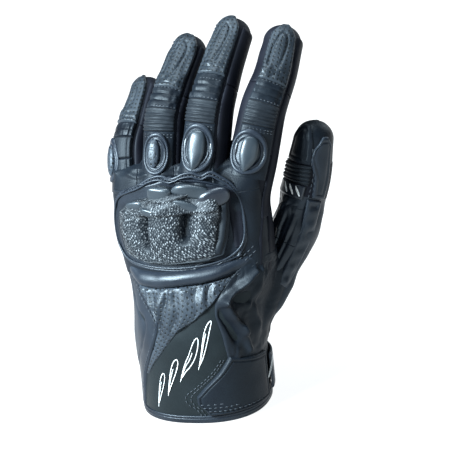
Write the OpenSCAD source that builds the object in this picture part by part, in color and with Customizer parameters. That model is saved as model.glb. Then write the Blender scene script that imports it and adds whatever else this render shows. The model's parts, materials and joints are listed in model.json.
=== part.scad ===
// Left riding glove: a hollow leather shell with a hinged finger chain, a hard knuckle guard and a wrist strap.
// +Z runs from the hem to the fingertips, the back of the hand faces -Y and the thumb is on the +X side.

/* [Cuff] */
// Outer width of the hem
hem_w = 77; // [75:1:80]
// Outer depth of the hem, back to palm
hem_t = 58; // [54:1:62]
// Height of the hem binding
hem_h = 5; // [4:0.5:6]
// Height at which the cuff ends and the wrist band starts
cuff_top = 40; // [38:1:42]
// Height of the strap, from edge to edge
strap_h = 24; // [20:1:24]

/* [Hand] */
// Outer width at the wrist
wrist_w = 76; // [72:1:80]
// Outer depth at the wrist
wrist_t = 54; // [50:1:58]
// Height of the wrist fold
wrist_z = 49; // [48:1:50]
// Height at which the hand's panels start
hand_z = 58; // [57:1:60]
// Outer width across the knuckles
hand_w = 94; // [93:1:97]
// Outer depth across the knuckles
hand_t = 38; // [36:1:40]
// Height of the seam that closes the palm below the fingers
palm_top = 111; // [108:1:112]
// How far the relaxed hand leans towards the palm, in degrees
hand_lean = 10; // [8:1:11]

/* [Leather] */
// Thickness of the outer leather
leather = 1.4; // [1:0.1:1.6]
// Thickness of the lining
lining = 0.6; // [0.4:0.1:0.8]
// Free space kept between two pieces
gap = 0.3; // [0.2:0.05:0.4]

/* [Armour] */
// Height of the knuckle guard's rim above the back of the hand
guard_h = 5; // [4:0.5:7]
// Extra height of the four knuckle domes
dome_h = 4; // [3:0.5:5]
// Height of the padded roll below the guard
roll_h = 4.5; // [3:0.5:6]
// Height of the finger pads
pad_h = 2.6; // [2:0.2:3.4]

/* [Hidden] */

// A finger: centres of its three joints and of its fingertip, half widths and half depths at those four places,
// and the turn of its back about Z, positive towards the thumb.
function finger(name) =
    name == "index" ? [[45.5, 3, 126], [60.5, 14, 174], [67, 28, 191], [70, 40, 206],
        [12, 12.8, 11.8, 10.8], [12, 11.8, 10.8, 9.8], 18] :
    name == "middle" ? [[21, -3, 130], [31, 9, 179], [36.5, 24, 199], [41, 38, 214],
        [12, 12.6, 11.7, 10.6], [12, 11.8, 10.8, 9.8], 2] :
    name == "ring" ? [[-4, -1, 128], [2, 11, 176], [7, 25, 193], [12, 38, 207],
        [11.8, 12, 11.2, 10.2], [11.6, 11.2, 10.4, 9.6], -8] :
    name == "little" ? [[-26.5, 6, 121], [-26, 19, 159], [-22, 30, 174], [-19.5, 40, 185],
        [10.8, 11, 10.4, 9.4], [10.8, 10.6, 9.8, 9], -24] :
    [[63, 28, 98], [75, 33, 126], [79, 34, 138], [82, 34, 149],
        [13.4, 12.8, 12.4, 11], [13, 12.2, 11.6, 10.4], 46];
thumb_root = [36, 12, 54];
thumb_root_r = 12.4;

sides = 16;         // facets around a finger
body_sides = 32;    // facets around the cuff and the hand
squareness = 0.86;  // 1 is an ellipse, less is boxier
black = "#23272e";
hard = "#4a525b";
satin = "#3c444b";
red_grey = "#2f343b";

// ---- Points and solids

function unit(v) = v / norm(v);
function mix(a, b, k) = a + (b - a) * k;
function soft(c) = sign(c) * pow(abs(c), squareness);

// Triangles of a four-cornered face.
function two(a, b, c, d) = [[a, b, c], [a, c, d]];

// A solid between two grids of points, outer[i][j] and inner[i][j], with i along it and j around it.
// ring joins the last column to the first, and cup closes the far end.
module skinned(outer, inner, ring = true, cup = false) {
    m = len(outer);
    n = len(outer[0]);
    last = ring ? n - 1 : n - 2;
    function o(i, j) = i * n + j % n;
    function q(i, j) = m * n + i * n + j % n;
    walls = [for (i = [0:m - 2]) for (j = [0:last]) each concat(
        two(o(i, j), o(i, j + 1), o(i + 1, j + 1), o(i + 1, j)),
        two(q(i, j), q(i + 1, j), q(i + 1, j + 1), q(i, j + 1)))];
    near = [for (j = [0:last]) each two(o(0, j + 1), o(0, j), q(0, j), q(0, j + 1))];
    far = cup
        ? [[for (j = [0:n - 1]) o(m - 1, j)], [for (j = [n - 1:-1:0]) q(m - 1, j)]]
        : [for (j = [0:last]) each two(o(m - 1, j), o(m - 1, j + 1), q(m - 1, j + 1), q(m - 1, j))];
    edges = ring ? [] : [for (i = [0:m - 2]) each concat(
        two(o(i, 0), o(i + 1, 0), q(i + 1, 0), q(i, 0)),
        two(o(i + 1, n - 1), o(i, n - 1), q(i, n - 1), q(i + 1, n - 1)))];
    polyhedron(concat([for (r = outer) each r], [for (r = inner) each r]), concat(walls, near, far, edges));
}

// Solids cut from faceted shells are kept faceted.
module faceted() {
    resize([0, 0, 0]) children();
}

// ---- The body of the glove: hem, cuff, wrist and palm, as one outline that changes with height

function body_x(z) = lookup(z, [[0, 0.7], [wrist_z, 4.7], [85, 11.8], [palm_top, 11.1]]);
function body_y(z) = lookup(z, [[0, 0], [wrist_z, 0], [85, 2], [palm_top, 2]]);
function body_w(z) = lookup(z, [[0, hem_w], [wrist_z, wrist_w], [70, wrist_w + 5], [92, hand_w - 2], [palm_top, hand_w]]) / 2;
function body_t(z) = lookup(z, [[0, hem_t], [wrist_z, wrist_t], [75, wrist_t - 4], [palm_top, hand_t], [130, hand_t - 4]]) / 2;
// The point at height z and angle a on the body, off outside its outer face. Angle 0 is the thumb side, 90 the back.
function skin(z, a, off) = [
    body_x(z) + (body_w(z) + off) * soft(cos(a)),
    body_y(z) - (body_t(z) + off) * soft(sin(a)),
    z];

// The hand is drawn upright, and then leans about a line through the wrist: to the palm, and slightly to the little
// finger. by is 1 for the hand and less within the wrist.
wrist_middle = [4.7, 0, 45];
lean_line = [cos(22), sin(22), 0];
function lean(p, by) = let (v = p - wrist_middle, a = -hand_lean * by)
    wrist_middle + v * cos(a) + cross(lean_line, v) * sin(a) + lean_line * (lean_line * v) * (1 - cos(a));
module leaning() {
    translate(wrist_middle) rotate(a = -hand_lean, v = lean_line) translate(-wrist_middle) children();
}

// A closed band around the body.
module body_band(heights, inside, outside) {
    angles = [for (j = [0:body_sides - 1]) 360 * j / body_sides];
    skinned([for (z = heights) [for (a = angles) skin(z, a, outside)]],
        [for (z = heights) [for (a = angles) skin(z, a, inside)]]);
}

// A panel on the body. from and to are angles, or tables of [height, angle]; crown swells it at the middle.
module body_panel(heights, from, to, inside, outside, crown = 0, steps = 10) {
    function edge(e, z) = is_list(e) ? lookup(z, e) : e;
    function at(i, j) = mix(edge(from, heights[i]), edge(to, heights[i]), j / steps);
    function swell(i, j) = crown * sqrt(sin(180 * i / (len(heights) - 1)) * sin(180 * j / steps));
    rows = [0:len(heights) - 1];
    skinned([for (i = rows) [for (j = [0:steps]) skin(heights[i], at(i, j), outside + swell(i, j))]],
        [for (i = rows) [for (j = [0:steps]) skin(heights[i], at(i, j), inside)]], ring = false);
}

function span(low, high, steps) = [for (i = [0:steps]) mix(low, high, i / steps)];

// ---- The fingers: tubes along the bones

// A cross-section: centre, side axis, back axis, half width, half depth. lean tips it about the side axis,
// so that its back edge lies further along the bone than its palm edge.
function section(c, d, turn, w, t, lean = 0) =
    let (s = unit(cross(d, [sin(turn), -cos(turn), 0])), n = cross(s, d)) [c, s, n + d * lean, w, t];
function rim(f, off, from = 0, to = 360, steps = sides) = [for (j = [0:steps - (to - from == 360 ? 1 : 0)])
    let (a = mix(from, to, j / steps)) f[0] + f[1] * (f[3] + off) * cos(a) + f[2] * (f[4] + off) * sin(a)];

module tube(sections, inside, outside, cup = false) {
    skinned([for (f = sections) rim(f, outside)], [for (f = sections) rim(f, inside)], cup = cup);
}

module finger_pad(sections, from, to, inside, outside, crown = 0, steps = 8) {
    last = len(sections) - 1;
    function swell(i, j) = crown * sqrt(sin(180 * i / last) * sin(180 * j / steps));
    function at(f, a, off) = f[0] + f[1] * (f[3] + off) * cos(a) + f[2] * (f[4] + off) * sin(a);
    skinned([for (i = [0:last]) [for (j = [0:steps]) at(sections[i], mix(from, to, j / steps), outside + swell(i, j))]],
        [for (i = [0:last]) [for (j = [0:steps]) at(sections[i], mix(from, to, j / steps), inside)]], ring = false);
}

// The section of finger f on bone k (0 base, 1 middle, 2 tip), run millimetres from the joint at its start.
function on_bone(f, k, run, lean = 0) =
    let (a = f[k], b = f[k + 1], d = unit(b - a), s = run / norm(b - a))
    section(a + d * run, d, f[6], mix(f[4][k], f[4][k + 1], s), mix(f[5][k], f[5][k + 1], s), lean);
function bone(f, k) = norm(f[k + 1] - f[k]);

// Where the sleeves start and stop, measured from the joints along the bone's axis, and how far their ends lean.
knuckle_run = 12.5;
knuckle_lean = -0.28;
stretch_before = 8;
stretch_after = 7.5;
stretch_lean = 0.42;
crease_before = 4;
crease_after = 3.6;
crease_lean = 0.22;

module base_sleeve(f) {
    end = bone(f, 0) - stretch_before;
    tube([on_bone(f, 0, knuckle_run, knuckle_lean), on_bone(f, 0, (knuckle_run + end) / 2), on_bone(f, 0, end, stretch_lean)],
        -leather, 0);
}

module mid_sleeve(f) {
    tube([on_bone(f, 1, stretch_after, -stretch_lean), on_bone(f, 1, bone(f, 1) - crease_before, crease_lean)], -leather, 0);
}

// The fingertip ends in a dome about its centre.
module tip_sleeve(f) {
    d = unit(f[3] - f[2]);
    start = on_bone(f, 2, crease_after, -crease_lean);
    function dome(a, off) = section(f[3] + d * (f[5][3] + off) * sin(a), d, f[6], (f[4][3] + off) * cos(a), (f[5][3] + off) * cos(a));
    turns = [0, 30, 55, 76];
    skinned(concat([rim(start, 0)], [for (a = turns) rim(dome(a, 0), 0)]),
        concat([rim(start, -leather)], [for (a = turns) rim(dome(a, -leather), 0)]), cup = true);
}

// The soft ring that folds at the knuckle, from the web seam to the base sleeve.
module knuckle_gusset(f) {
    foot = section([f[0][0], f[0][1], palm_top + 2.5 + gap], [0, 0, 1], f[6], f[4][0] - 0.4, f[5][0] - 0.4);
    tube([foot, section(f[0], unit(f[1] - f[0] + [0, 0, 30]), f[6], f[4][0] - 0.2, f[5][0] - 0.2),
        on_bone(f, 0, knuckle_run - gap, knuckle_lean)], -leather, 0);
}

// The ribbed stretch panel that folds at the middle joint.
module stretch_ring(f) {
    d = unit(f[2] - f[0]);
    tube([on_bone(f, 0, bone(f, 0) - stretch_before + gap, stretch_lean), section(f[1], d, f[6], f[4][1], f[5][1]),
        on_bone(f, 1, stretch_after - gap, -stretch_lean)], -leather, 0);
}

module crease_ring(f) {
    d = unit(f[3] - f[1]);
    tube([on_bone(f, 1, bone(f, 1) - crease_before + gap, crease_lean), section(f[2], d, f[6], f[4][2], f[5][2]),
        on_bone(f, 2, crease_after - gap, -crease_lean)], -leather, 0);
}

// An oval patch on the back of the base sleeve, half as wide as the angle half.
module oval(f, low, high, half, inside, outside, crown = 0) {
    rows = 8;
    steps = 8;
    function along(i) = -cos(180 * i / rows);
    function turn(i, j) = 90 + half * sqrt(1 - pow(0.97 * along(i), 2)) * (2 * j / steps - 1);
    function swell(i, j) = crown * sin(180 * i / rows) * sqrt(sin(180 * j / steps));
    function at(i, j, off) = let (s = on_bone(f, 0, mix(low, high, (1 + along(i)) / 2)), a = turn(i, j))
        s[0] + s[1] * (s[3] + off) * cos(a) + s[2] * (s[4] + off) * sin(a);
    skinned([for (i = [0:rows]) [for (j = [0:steps]) at(i, j, outside + swell(i, j))]],
        [for (i = [0:rows]) [for (j = [0:steps]) at(i, j, inside)]], ring = false);
}

// The oval pad in its raised frame. It ends short of the middle joint.
pad_l = 20;
pad_half = 32;
rim_l = 3;
rim_half = 17;
function pad_high(f) = bone(f, 0) - 9;
function pad_low(f) = max(pad_high(f) - pad_l, knuckle_run + rim_l);
module knuckle_pad(f) {
    oval(f, pad_low(f), pad_high(f), pad_half, gap, 1.2, pad_h - 1.2);
}
frame_sides = 24;
module knuckle_pad_frame(f) {
    middle = (pad_low(f) + pad_high(f)) / 2;
    reach = (pad_high(f) - pad_low(f)) / 2;
    function at(k, j, off) = let (
            t = 360 * j / frame_sides,
            s = on_bone(f, 0, middle + mix(reach + 3 * gap, reach + rim_l, k) * cos(t)),
            a = 90 + mix(pad_half + 4, pad_half + rim_half, k) * sin(t))
        s[0] + s[1] * (s[3] + off) * cos(a) + s[2] * (s[4] + off) * sin(a);
    skinned([for (k = [0:1]) [for (j = [0:frame_sides - 1]) at(k, j, 1.8)]],
        [for (k = [0:1]) [for (j = [0:frame_sides - 1]) at(k, j, gap)]]);
}

// ---- Sub-parts of the cuff

hem_out = 1;      // how far the binding stands out of the leather
hem_in = 2;       // and how far its inner face lies within
module cuff_hem() {
    function ring(off) = [for (j = [0:body_sides - 1]) let (p = skin(0, 360 * j / body_sides, off)) [p[0], p[1]]];
    color(black) linear_extrude(hem_h) difference() {
        polygon(ring(hem_out));
        polygon(ring(-hem_in));
    }
}
module cuff_back() {
    color(satin) body_panel(span(hem_h, cuff_top, 4), 10, 180, -leather, 0, steps = 16);
}
module cuff_palm() {
    color(black) body_panel(span(hem_h, cuff_top, 4), 180.4, 284.8, -leather, 0, steps = 12);
    color(black) body_panel(span(hem_h, cuff_top, 4), 315.2, 369.6, -leather, 0, steps = 6);
}
module cuff_gusset() {
    color(satin) body_panel(span(hem_h, cuff_top, 4), 285.2, 314.8, -leather, 0, steps = 5);
}
module cuff_lining() {
    color(red_grey) body_band(span(hem_h + gap, cuff_top - gap, 4), -leather - 0.2 - lining, -leather - 0.2);
}

strap_in = 1.7;   // inner face of the strap above the cuff
strap_out = 3.2;
strap_z = 18;     // middle height of the strap
module strap_base() {
    color(black) body_panel(span(hem_h + gap, 36, 5), 4, [[hem_h, 78], [13, 84], [37, 56]], gap, strap_out, steps = 10);
}
module strap_loop() {
    color(red_grey) body_panel(span(strap_z - strap_h / 2 + 1, strap_z + strap_h / 2 - 1, 3), 232, 284.5, 0.1, 0.7, steps = 8);
}
module strap_tab() {
    color(black) body_panel(span(strap_z - strap_h / 2, strap_z + strap_h / 2, 4), -108, -4, strap_in, strap_out, steps = 14);
}
module strap_hook() {
    color(red_grey) body_panel(span(strap_z - strap_h / 2 + 2, strap_z + strap_h / 2 - 2, 3), 254, 284, 1, strap_in - 0.1, steps = 5);
}

// ---- Sub-parts of the hand

// The space that the thumb's own tube takes out of the palm.
function thumb_sections(off) =
    let (f = finger("thumb"), d = unit(f[0] - thumb_root))
    [section(thumb_root, d, f[6], thumb_root_r + off, thumb_root_r + off),
        section(mix(thumb_root, f[0], 0.5), d, f[6], thumb_root_r + off, thumb_root_r + off),
        section(f[0] - d * 4, d, f[6], f[4][0] + off, f[5][0] + off)];
module thumb_space(off) {
    rows = [for (s = thumb_sections(off)) rim(s, 0)];
    n = sides;
    last = (len(rows) - 1) * n;
    polyhedron([for (r = rows) each r], concat(
        [for (i = [0:len(rows) - 2]) for (j = [0:n - 1]) each
            two(i * n + j, i * n + (j + 1) % n, (i + 1) * n + (j + 1) % n, (i + 1) * n + j)],
        [[for (j = [n - 1:-1:0]) j]], [[for (j = [0:n - 1]) last + j]]));
}
module body_space(off) {
    heights = span(30, 125, 10);
    rows = [for (z = heights) [for (j = [0:body_sides - 1]) skin(z, 360 * j / body_sides, off)]];
    n = body_sides;
    last = (len(rows) - 1) * n;
    polyhedron([for (r = rows) each r], concat(
        [for (i = [0:len(rows) - 2]) for (j = [0:n - 1]) each
            two(i * n + j, i * n + (j + 1) % n, (i + 1) * n + (j + 1) % n, (i + 1) * n + j)],
        [[for (j = [n - 1:-1:0]) j]], [[for (j = [0:n - 1]) last + j]]));
}

thumb_seam = 16;  // angle of the seam between the back and the palm, on the thumb side
module wrist_band() {
    angles = [for (j = [0:body_sides - 1]) 360 * j / body_sides];
    low = cuff_top + gap;
    high = hand_z - gap;
    function row(z, off) = [for (a = angles) lean(skin(z, a, off), (z - low) / (high - low))];
    color(black) skinned([for (z = span(low, high, 6)) row(z, 0)], [for (z = span(low, high, 6)) row(z, -leather)]);
}
module hand_back() {
    color(black) faceted() difference() {
        body_panel(span(hand_z, palm_top, 6), thumb_seam + 0.3, 180, -leather, 0, steps = 20);
        thumb_space(-leather);
    }
}
module hand_palm() {
    color(black) faceted() difference() {
        body_panel(span(hand_z, palm_top, 6), 180.3, 360 + thumb_seam, -leather, 0, steps = 22);
        thumb_space(-leather);
    }
}
module hand_lining() {
    color(red_grey) faceted() difference() {
        body_band(span(hand_z + gap, palm_top - gap, 6), -leather - 0.2 - lining, -leather - 0.2);
        thumb_space(-leather);
    }
}

// The seam plate between the palm and the fingers, with one hole for each finger.
web_h = 2.5;
finger_hole_r = 9.6;
module finger_webs() {
    color(black) translate([0, 0, palm_top]) linear_extrude(web_h) difference() {
        polygon([for (j = [0:body_sides - 1]) let (p = skin(palm_top, 360 * j / body_sides, 0)) [p[0], p[1]]]);
        for (name = ["index", "middle", "ring", "little"])
            translate([finger(name)[0][0], finger(name)[0][1]]) circle(r = finger_hole_r, $fn = 48);
    }
}

// It reaches past the seam plate, so that it covers the knuckles themselves.
guard_low = 95;
guard_high = 137;
guard_from = [[guard_low, 66], [102, 54], [122, 47], [guard_high, 51]];
guard_to = [[guard_low, 120], [102, 138], [118, 149], [guard_high, 146]];
guard_base = 2.4;  // height of the guard's lower face above the leather
guard_sink = 0.4;  // how much lower the foam ends
module guard_foam() {
    color(red_grey) body_panel(span(guard_low, guard_high - 3, 4), guard_from, guard_to, gap, guard_base - guard_sink, steps = 14);
}
// The hard shell over the knuckles, with four domes.
module guard_shell() {
    heights = span(guard_low, guard_high, 8);
    steps = 24;
    function at(z, j) = mix(lookup(z, guard_from), lookup(z, guard_to), j / steps);
    function lift(i, j) = let (u = i / 8, v = j / steps)
        guard_h * pow(sin(180 * mix(0.1, 0.8, u)), 0.5) * pow(sin(180 * mix(0.06, 0.94, v)), 0.4)
        + dome_h * pow(sin(180 * mix(0, 0.9, u)), 2) * pow(abs(sin(180 * 4 * v)), 0.7);
    color(hard) skinned(
        [for (i = [0:8]) [for (j = [0:steps]) skin(heights[i], at(heights[i], j), guard_base + 0.6 + lift(i, j))]],
        [for (i = [0:8]) [for (j = [0:steps]) skin(heights[i], at(heights[i], j), guard_base)]], ring = false);
}
// The leather frame around the guard's lower edge and sides.
frame_w = 4;      // width of the frame below the guard
frame_turn = 8;   // its width beside the guard, as an angle
function wider(edge, by) = [for (e = edge) [e[0], e[1] + by]];
module guard_frame() {
    color(black) faceted() difference() {
        body_panel(span(guard_low - frame_w, guard_high - 6, 7), wider(guard_from, -frame_turn),
            wider(guard_to, frame_turn), gap, 2, steps = 16);
        body_panel(span(guard_low - gap, guard_high, 7), wider(guard_from, -0.5),
            wider(guard_to, 0.5), -2, 20, steps = 16);
    }
}
roll_low = 79;
module wrist_roll() {
    color(black) body_panel(span(roll_low, guard_low - frame_w - gap, 4), 28, 166, gap, 0.8, roll_h, steps = 14);
}
module outer_edge_pad() {
    color(black) body_panel(span(62, 108, 5), 168.5, 212, gap, 1, 1.8, steps = 6);
}
module palm_patch() {
    color(black) body_panel(span(60, 98, 5), 215, 282, gap, 1.5, steps = 8);
}
module palm_grip() {
    color(black) body_panel(span(100, 110, 3), 215, 330, gap, 1.5, 0.8, steps = 12);
}

// ---- Sub-parts of the thumb

module thumb_mound() {
    color(black) faceted() difference() {
        tube(thumb_sections(0), -leather, 0);
        body_space(gap);
    }
}
module thumb_gusset() {
    f = finger("thumb");
    d = unit(f[0] - thumb_root);
    color(black) tube([section(f[0] - d * (4 - gap), d, f[6], f[4][0], f[5][0]), section(f[0], unit(d + unit(f[1] - f[0])), f[6], f[4][0], f[5][0]),
        on_bone(f, 0, 6 - gap, -0.2)], -leather, 0);
}
module thumb_sleeve() {
    f = finger("thumb");
    color(black) tube([on_bone(f, 0, 6, -0.2), on_bone(f, 0, bone(f, 0) - 4, 0.25)], -leather, 0);
}
module thumb_badge() {
    f = finger("thumb");
    color(hard) finger_pad([for (r = span(11, 21, 3)) on_bone(f, 0, r)], 90, 150, gap, 1.2, steps = 5);
}
module thumb_crease() {
    f = finger("thumb");
    color(black) tube([on_bone(f, 0, bone(f, 0) - 4 + gap, 0.25), section(f[1], unit(f[2] - f[0]), f[6], f[4][1], f[5][1]),
        on_bone(f, 1, 4 - gap, -0.25)], -leather, 0);
}
module thumb_tip() {
    f = finger("thumb");
    d = unit(f[3] - f[2]);
    function dome(a, off) = section(f[3] + d * (f[5][3] + off) * sin(a), d, f[6], (f[4][3] + off) * cos(a), (f[5][3] + off) * cos(a));
    turns = [0, 30, 55, 76];
    color(black) skinned(
        concat([rim(on_bone(f, 1, 4, -0.25), 0), rim(on_bone(f, 2, 0), 0)], [for (a = turns) rim(dome(a, 0), 0)]),
        concat([rim(on_bone(f, 1, 4, -0.25), -leather), rim(on_bone(f, 2, 0), -leather)], [for (a = turns) rim(dome(a, -leather), 0)]),
        cup = true);
}

// ---- Each node

cuff_hem();
cuff_back();
cuff_palm();
cuff_gusset();
cuff_lining();
strap_base();
strap_loop();
strap_tab();
strap_hook();
wrist_band();
leaning() hand_back();
leaning() hand_palm();
leaning() hand_lining();
leaning() finger_webs();
leaning() guard_foam();
leaning() guard_shell();
leaning() guard_frame();
leaning() wrist_roll();
leaning() outer_edge_pad();
leaning() palm_patch();
leaning() palm_grip();
leaning() thumb_mound();
leaning() thumb_gusset();
leaning() thumb_sleeve();
leaning() thumb_badge();
leaning() thumb_crease();
leaning() thumb_tip();
for (name = ["index", "middle", "ring", "little"]) leaning() {
    color(black) knuckle_gusset(finger(name));
    color(black) base_sleeve(finger(name));
    color(name == "index" || name == "middle" ? hard : black) knuckle_pad(finger(name));
    color(black) knuckle_pad_frame(finger(name));
    color(black) stretch_ring(finger(name));
    color(black) mid_sleeve(finger(name));
    color(black) crease_ring(finger(name));
    color(black) tip_sleeve(finger(name));
}
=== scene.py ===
import json
import math
from collections import namedtuple
from functools import cached_property

import bmesh
import bpy
import numpy as np
from mathutils import Matrix, Vector


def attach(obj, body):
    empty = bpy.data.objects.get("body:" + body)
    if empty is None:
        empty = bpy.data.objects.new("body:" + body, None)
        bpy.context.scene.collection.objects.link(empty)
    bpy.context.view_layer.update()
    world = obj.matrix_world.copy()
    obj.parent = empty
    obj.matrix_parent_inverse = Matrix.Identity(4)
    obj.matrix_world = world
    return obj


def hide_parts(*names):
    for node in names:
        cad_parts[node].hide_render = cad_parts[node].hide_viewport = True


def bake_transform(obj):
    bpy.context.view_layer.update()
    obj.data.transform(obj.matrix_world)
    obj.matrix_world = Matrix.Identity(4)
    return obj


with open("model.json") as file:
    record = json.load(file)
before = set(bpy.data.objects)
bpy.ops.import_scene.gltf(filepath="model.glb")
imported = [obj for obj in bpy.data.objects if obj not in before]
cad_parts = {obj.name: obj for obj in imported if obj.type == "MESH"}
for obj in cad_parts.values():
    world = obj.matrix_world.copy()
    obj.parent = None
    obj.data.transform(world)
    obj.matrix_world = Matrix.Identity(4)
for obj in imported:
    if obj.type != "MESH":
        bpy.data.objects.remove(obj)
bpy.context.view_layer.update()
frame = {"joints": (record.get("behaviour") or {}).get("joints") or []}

# A left riding glove. Shapes are in millimetres here, in the CAD frame: +Z to the fingertips, the back of the
# hand faces -Y, the thumb is on the +X side. Every panel lies on one of two kinds of surface: the trunk, which is
# the cuff and palm, and a limb, which is a finger. A place on them is (s, a): s runs along, a is an angle around
# in degrees, 0 towards the thumb, 90 on the back, 180 towards the little finger and 270 in the palm.

MM = 0.001
FINGERS = ("index", "middle", "ring", "little")
JOINT = {j["name"]: np.array(j.get("pos_m", (0, 0, 0))) / MM for j in frame["joints"]}


# ---- Numbers and curves

def unit(v):
    return v / np.linalg.norm(v, axis=-1, keepdims=True)


def ease(x, low, high):
    t = np.clip((x - low) / (high - low), 0, 1)
    return t * t * (3 - 2 * t)


def bell(x, centre, width):
    return np.exp(-((x - centre) / width) ** 2)


def soft(c, power):
    return np.sign(c) * np.abs(c) ** power


def grain(x, y, seed=0):
    """Smooth noise from -1 to 1, one lump to each unit."""
    x, y = np.broadcast_arrays(np.asarray(x, float), np.asarray(y, float))
    i, j = np.floor(x), np.floor(y)
    u, v = x - i, y - j
    u, v = u * u * (3 - 2 * u), v * v * (3 - 2 * v)

    def corner(di, dj):
        n = np.sin((i + di) * 127.1 + (j + dj) * 311.7 + seed * 74.7) * 43758.5453
        return 2 * (n - np.floor(n)) - 1

    low = corner(0, 0) * (1 - u) + corner(1, 0) * u
    high = corner(0, 1) * (1 - u) + corner(1, 1) * u
    return low * (1 - v) + high * v


def through(points, count=60, closed=False):
    """A smooth line through the points, count steps long."""
    p = np.array(points, float)
    p = np.vstack([p[-1], p, p[:2]]) if closed else np.vstack([2 * p[0] - p[1], p, 2 * p[-1] - p[-2]])
    spans = len(p) - 3
    out = []
    for k in np.linspace(0, spans, count + 1):
        i = min(int(k), spans - 1)
        t = k - i
        a, b, c, d = p[i:i + 4]
        cubic = (3 * b - 3 * c + d - a) * t ** 3
        out.append(0.5 * (2 * b + (c - a) * t + (2 * a - 5 * b + 4 * c - d) * t ** 2 + cubic))
    return np.array(out)


# ---- The hand leans towards the palm about a line through the wrist

WRIST = np.array((4.7, 0.0, 45.0))
LEAN_LINE = np.array((math.cos(math.radians(22)), math.sin(math.radians(22)), 0.0))
LEAN = math.radians(-10)


def turned(v, share=1.0):
    v = np.asarray(v, float)
    a = np.asarray(LEAN * share)[..., None]
    along = (v @ LEAN_LINE)[..., None] * LEAN_LINE
    return v * np.cos(a) + np.cross(np.broadcast_to(LEAN_LINE, v.shape), v) * np.sin(a) + along * (1 - np.cos(a))


def lean(p, share=1.0):
    return WRIST + turned(np.asarray(p, float) - WRIST, share)


def upright(p):
    return lean(p, -1.0)


# ---- The two kinds of surface

class Trunk:
    """The cuff and the palm. s is the height above the hem's rim."""

    heights = (0, 20, 49, 60, 72, 85, 93, 111, 125, 140)
    mid_x = (0.7, 2.4, 4.7, 6, 8.9, 11.8, 11.6, 11.1, 11.3, 11.4)
    mid_y = (0, 0, 0, 0.5, 1.2, 2, 2, 2, 2, 2)
    half_w = (38.5, 38.2, 38, 38.6, 40.6, 43.8, 45.8, 47.1, 47.1, 46.9)
    half_t = (29, 28.4, 27.3, 27, 26, 23.4, 22, 19.2, 17.6, 16)
    power = 0.86
    thumb_root = np.array((36.0, 12.0, 54.0))
    thumb_r = 12.0

    def value(self, s, row):
        return sum(np.interp(s + k, self.heights, row) for k in (-6, -3, 0, 3, 6)) / 5

    def at(self, s, a, h=0.0):
        s, a, h = np.broadcast_arrays(np.asarray(s, float), np.radians(a), np.asarray(h, float))
        cx, cy = self.value(s, self.mid_x), self.value(s, self.mid_y)
        w, t = self.value(s, self.half_w), self.value(s, self.half_t)
        ex, ey = w * soft(np.cos(a), self.power), -t * soft(np.sin(a), self.power)
        reach = np.hypot(ex, ey)
        ex, ey = ex / reach, ey / reach
        # The thumb's mound: how far the thumb's round root reaches along the same ray.
        bone = unit(upright(JOINT["thumb_base_joint"]) - self.thumb_root)
        ahead = (s - self.thumb_root[2]) / bone[2]
        qx = self.thumb_root[0] + bone[0] * ahead - cx
        qy = self.thumb_root[1] + bone[1] * ahead - cy
        along = qx * ex + qy * ey
        aside = np.abs(qx * ey - qy * ex)
        root = self.thumb_r * 1.08
        hit = along + np.sqrt(np.clip(root ** 2 - aside ** 2, 0, None)) - 0.18 * np.clip(aside - root, 0, None) * 4
        swell = ease(s, 36, 56) * (1 - ease(s, 70, 96))
        wide = 5.0
        more = wide * np.log1p(np.exp(np.clip((hit - reach) / wide, -30, 30)))
        more = more * swell * ease(np.abs(aside), root * 2.2, root * 0.8)
        far = reach + more + h
        return lean(np.stack([cx + ex * far, cy + ey * far, s], -1), ease(s, 40, 58))


class Limb:
    """A finger. s is the distance along it from its knuckle, and beyond length the end is a dome."""

    def __init__(self, points, stations, half_w, half_t, turns, power, blur=7.0):
        self.points = np.array(points, float)
        steps = np.linalg.norm(np.diff(self.points, axis=0), axis=1)
        self.runs = np.concatenate([[0], np.cumsum(steps)]) - steps[0]
        self.length = self.runs[-1]
        self.stations, self.half_w, self.half_t = stations, half_w, half_t
        self.turns, self.power, self.blur = turns, power, blur
        self.dome = 0.5 * (half_w[-1] + half_t[-1])

    def line(self, s):
        p, r = self.points, self.runs
        first, last = unit(p[1] - p[0]), unit(p[-1] - p[-2])
        inside = np.stack([np.interp(s, r, p[:, k]) for k in range(3)], -1)
        inside += np.minimum(s - r[0], 0)[..., None] * first
        return inside + np.maximum(s - r[-1], 0)[..., None] * last

    def centre(self, s):
        shares = ((-1, 1), (-0.5, 2), (0, 3), (0.5, 2), (1, 1))
        return sum(share * self.line(s + k * self.blur) for k, share in shares) / 9

    def value(self, s, row):
        return sum(np.interp(s + k, self.stations, row) for k in (-4, -2, 0, 2, 4)) / 5

    def at(self, s, a, h=0.0):
        s, a, h = np.broadcast_arrays(np.asarray(s, float), np.radians(a), np.asarray(h, float))
        rise = np.clip((s - self.length) / self.dome, 0, 1)
        ahead = np.minimum(s, self.length)
        d = unit(self.centre(ahead + 0.5) - self.centre(ahead - 0.5))
        turn = np.radians(self.value(ahead, self.turns))
        away = turned(np.stack([np.sin(turn), -np.cos(turn), np.zeros_like(turn)], -1))
        side = unit(np.cross(d, away))
        back = np.cross(side, d)
        shrink = np.sqrt(1 - rise ** 2)
        w = (self.value(ahead, self.half_w) + h) * shrink
        t = (self.value(ahead, self.half_t) + h) * shrink
        power = self.value(ahead, self.power)
        middle = self.centre(ahead) + d * ((self.dome + h) * rise)[..., None]
        x, y = w * soft(np.cos(a), power), t * soft(np.sin(a), power)
        return middle + side * x[..., None] + back * y[..., None]


trunk = Trunk()
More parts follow.
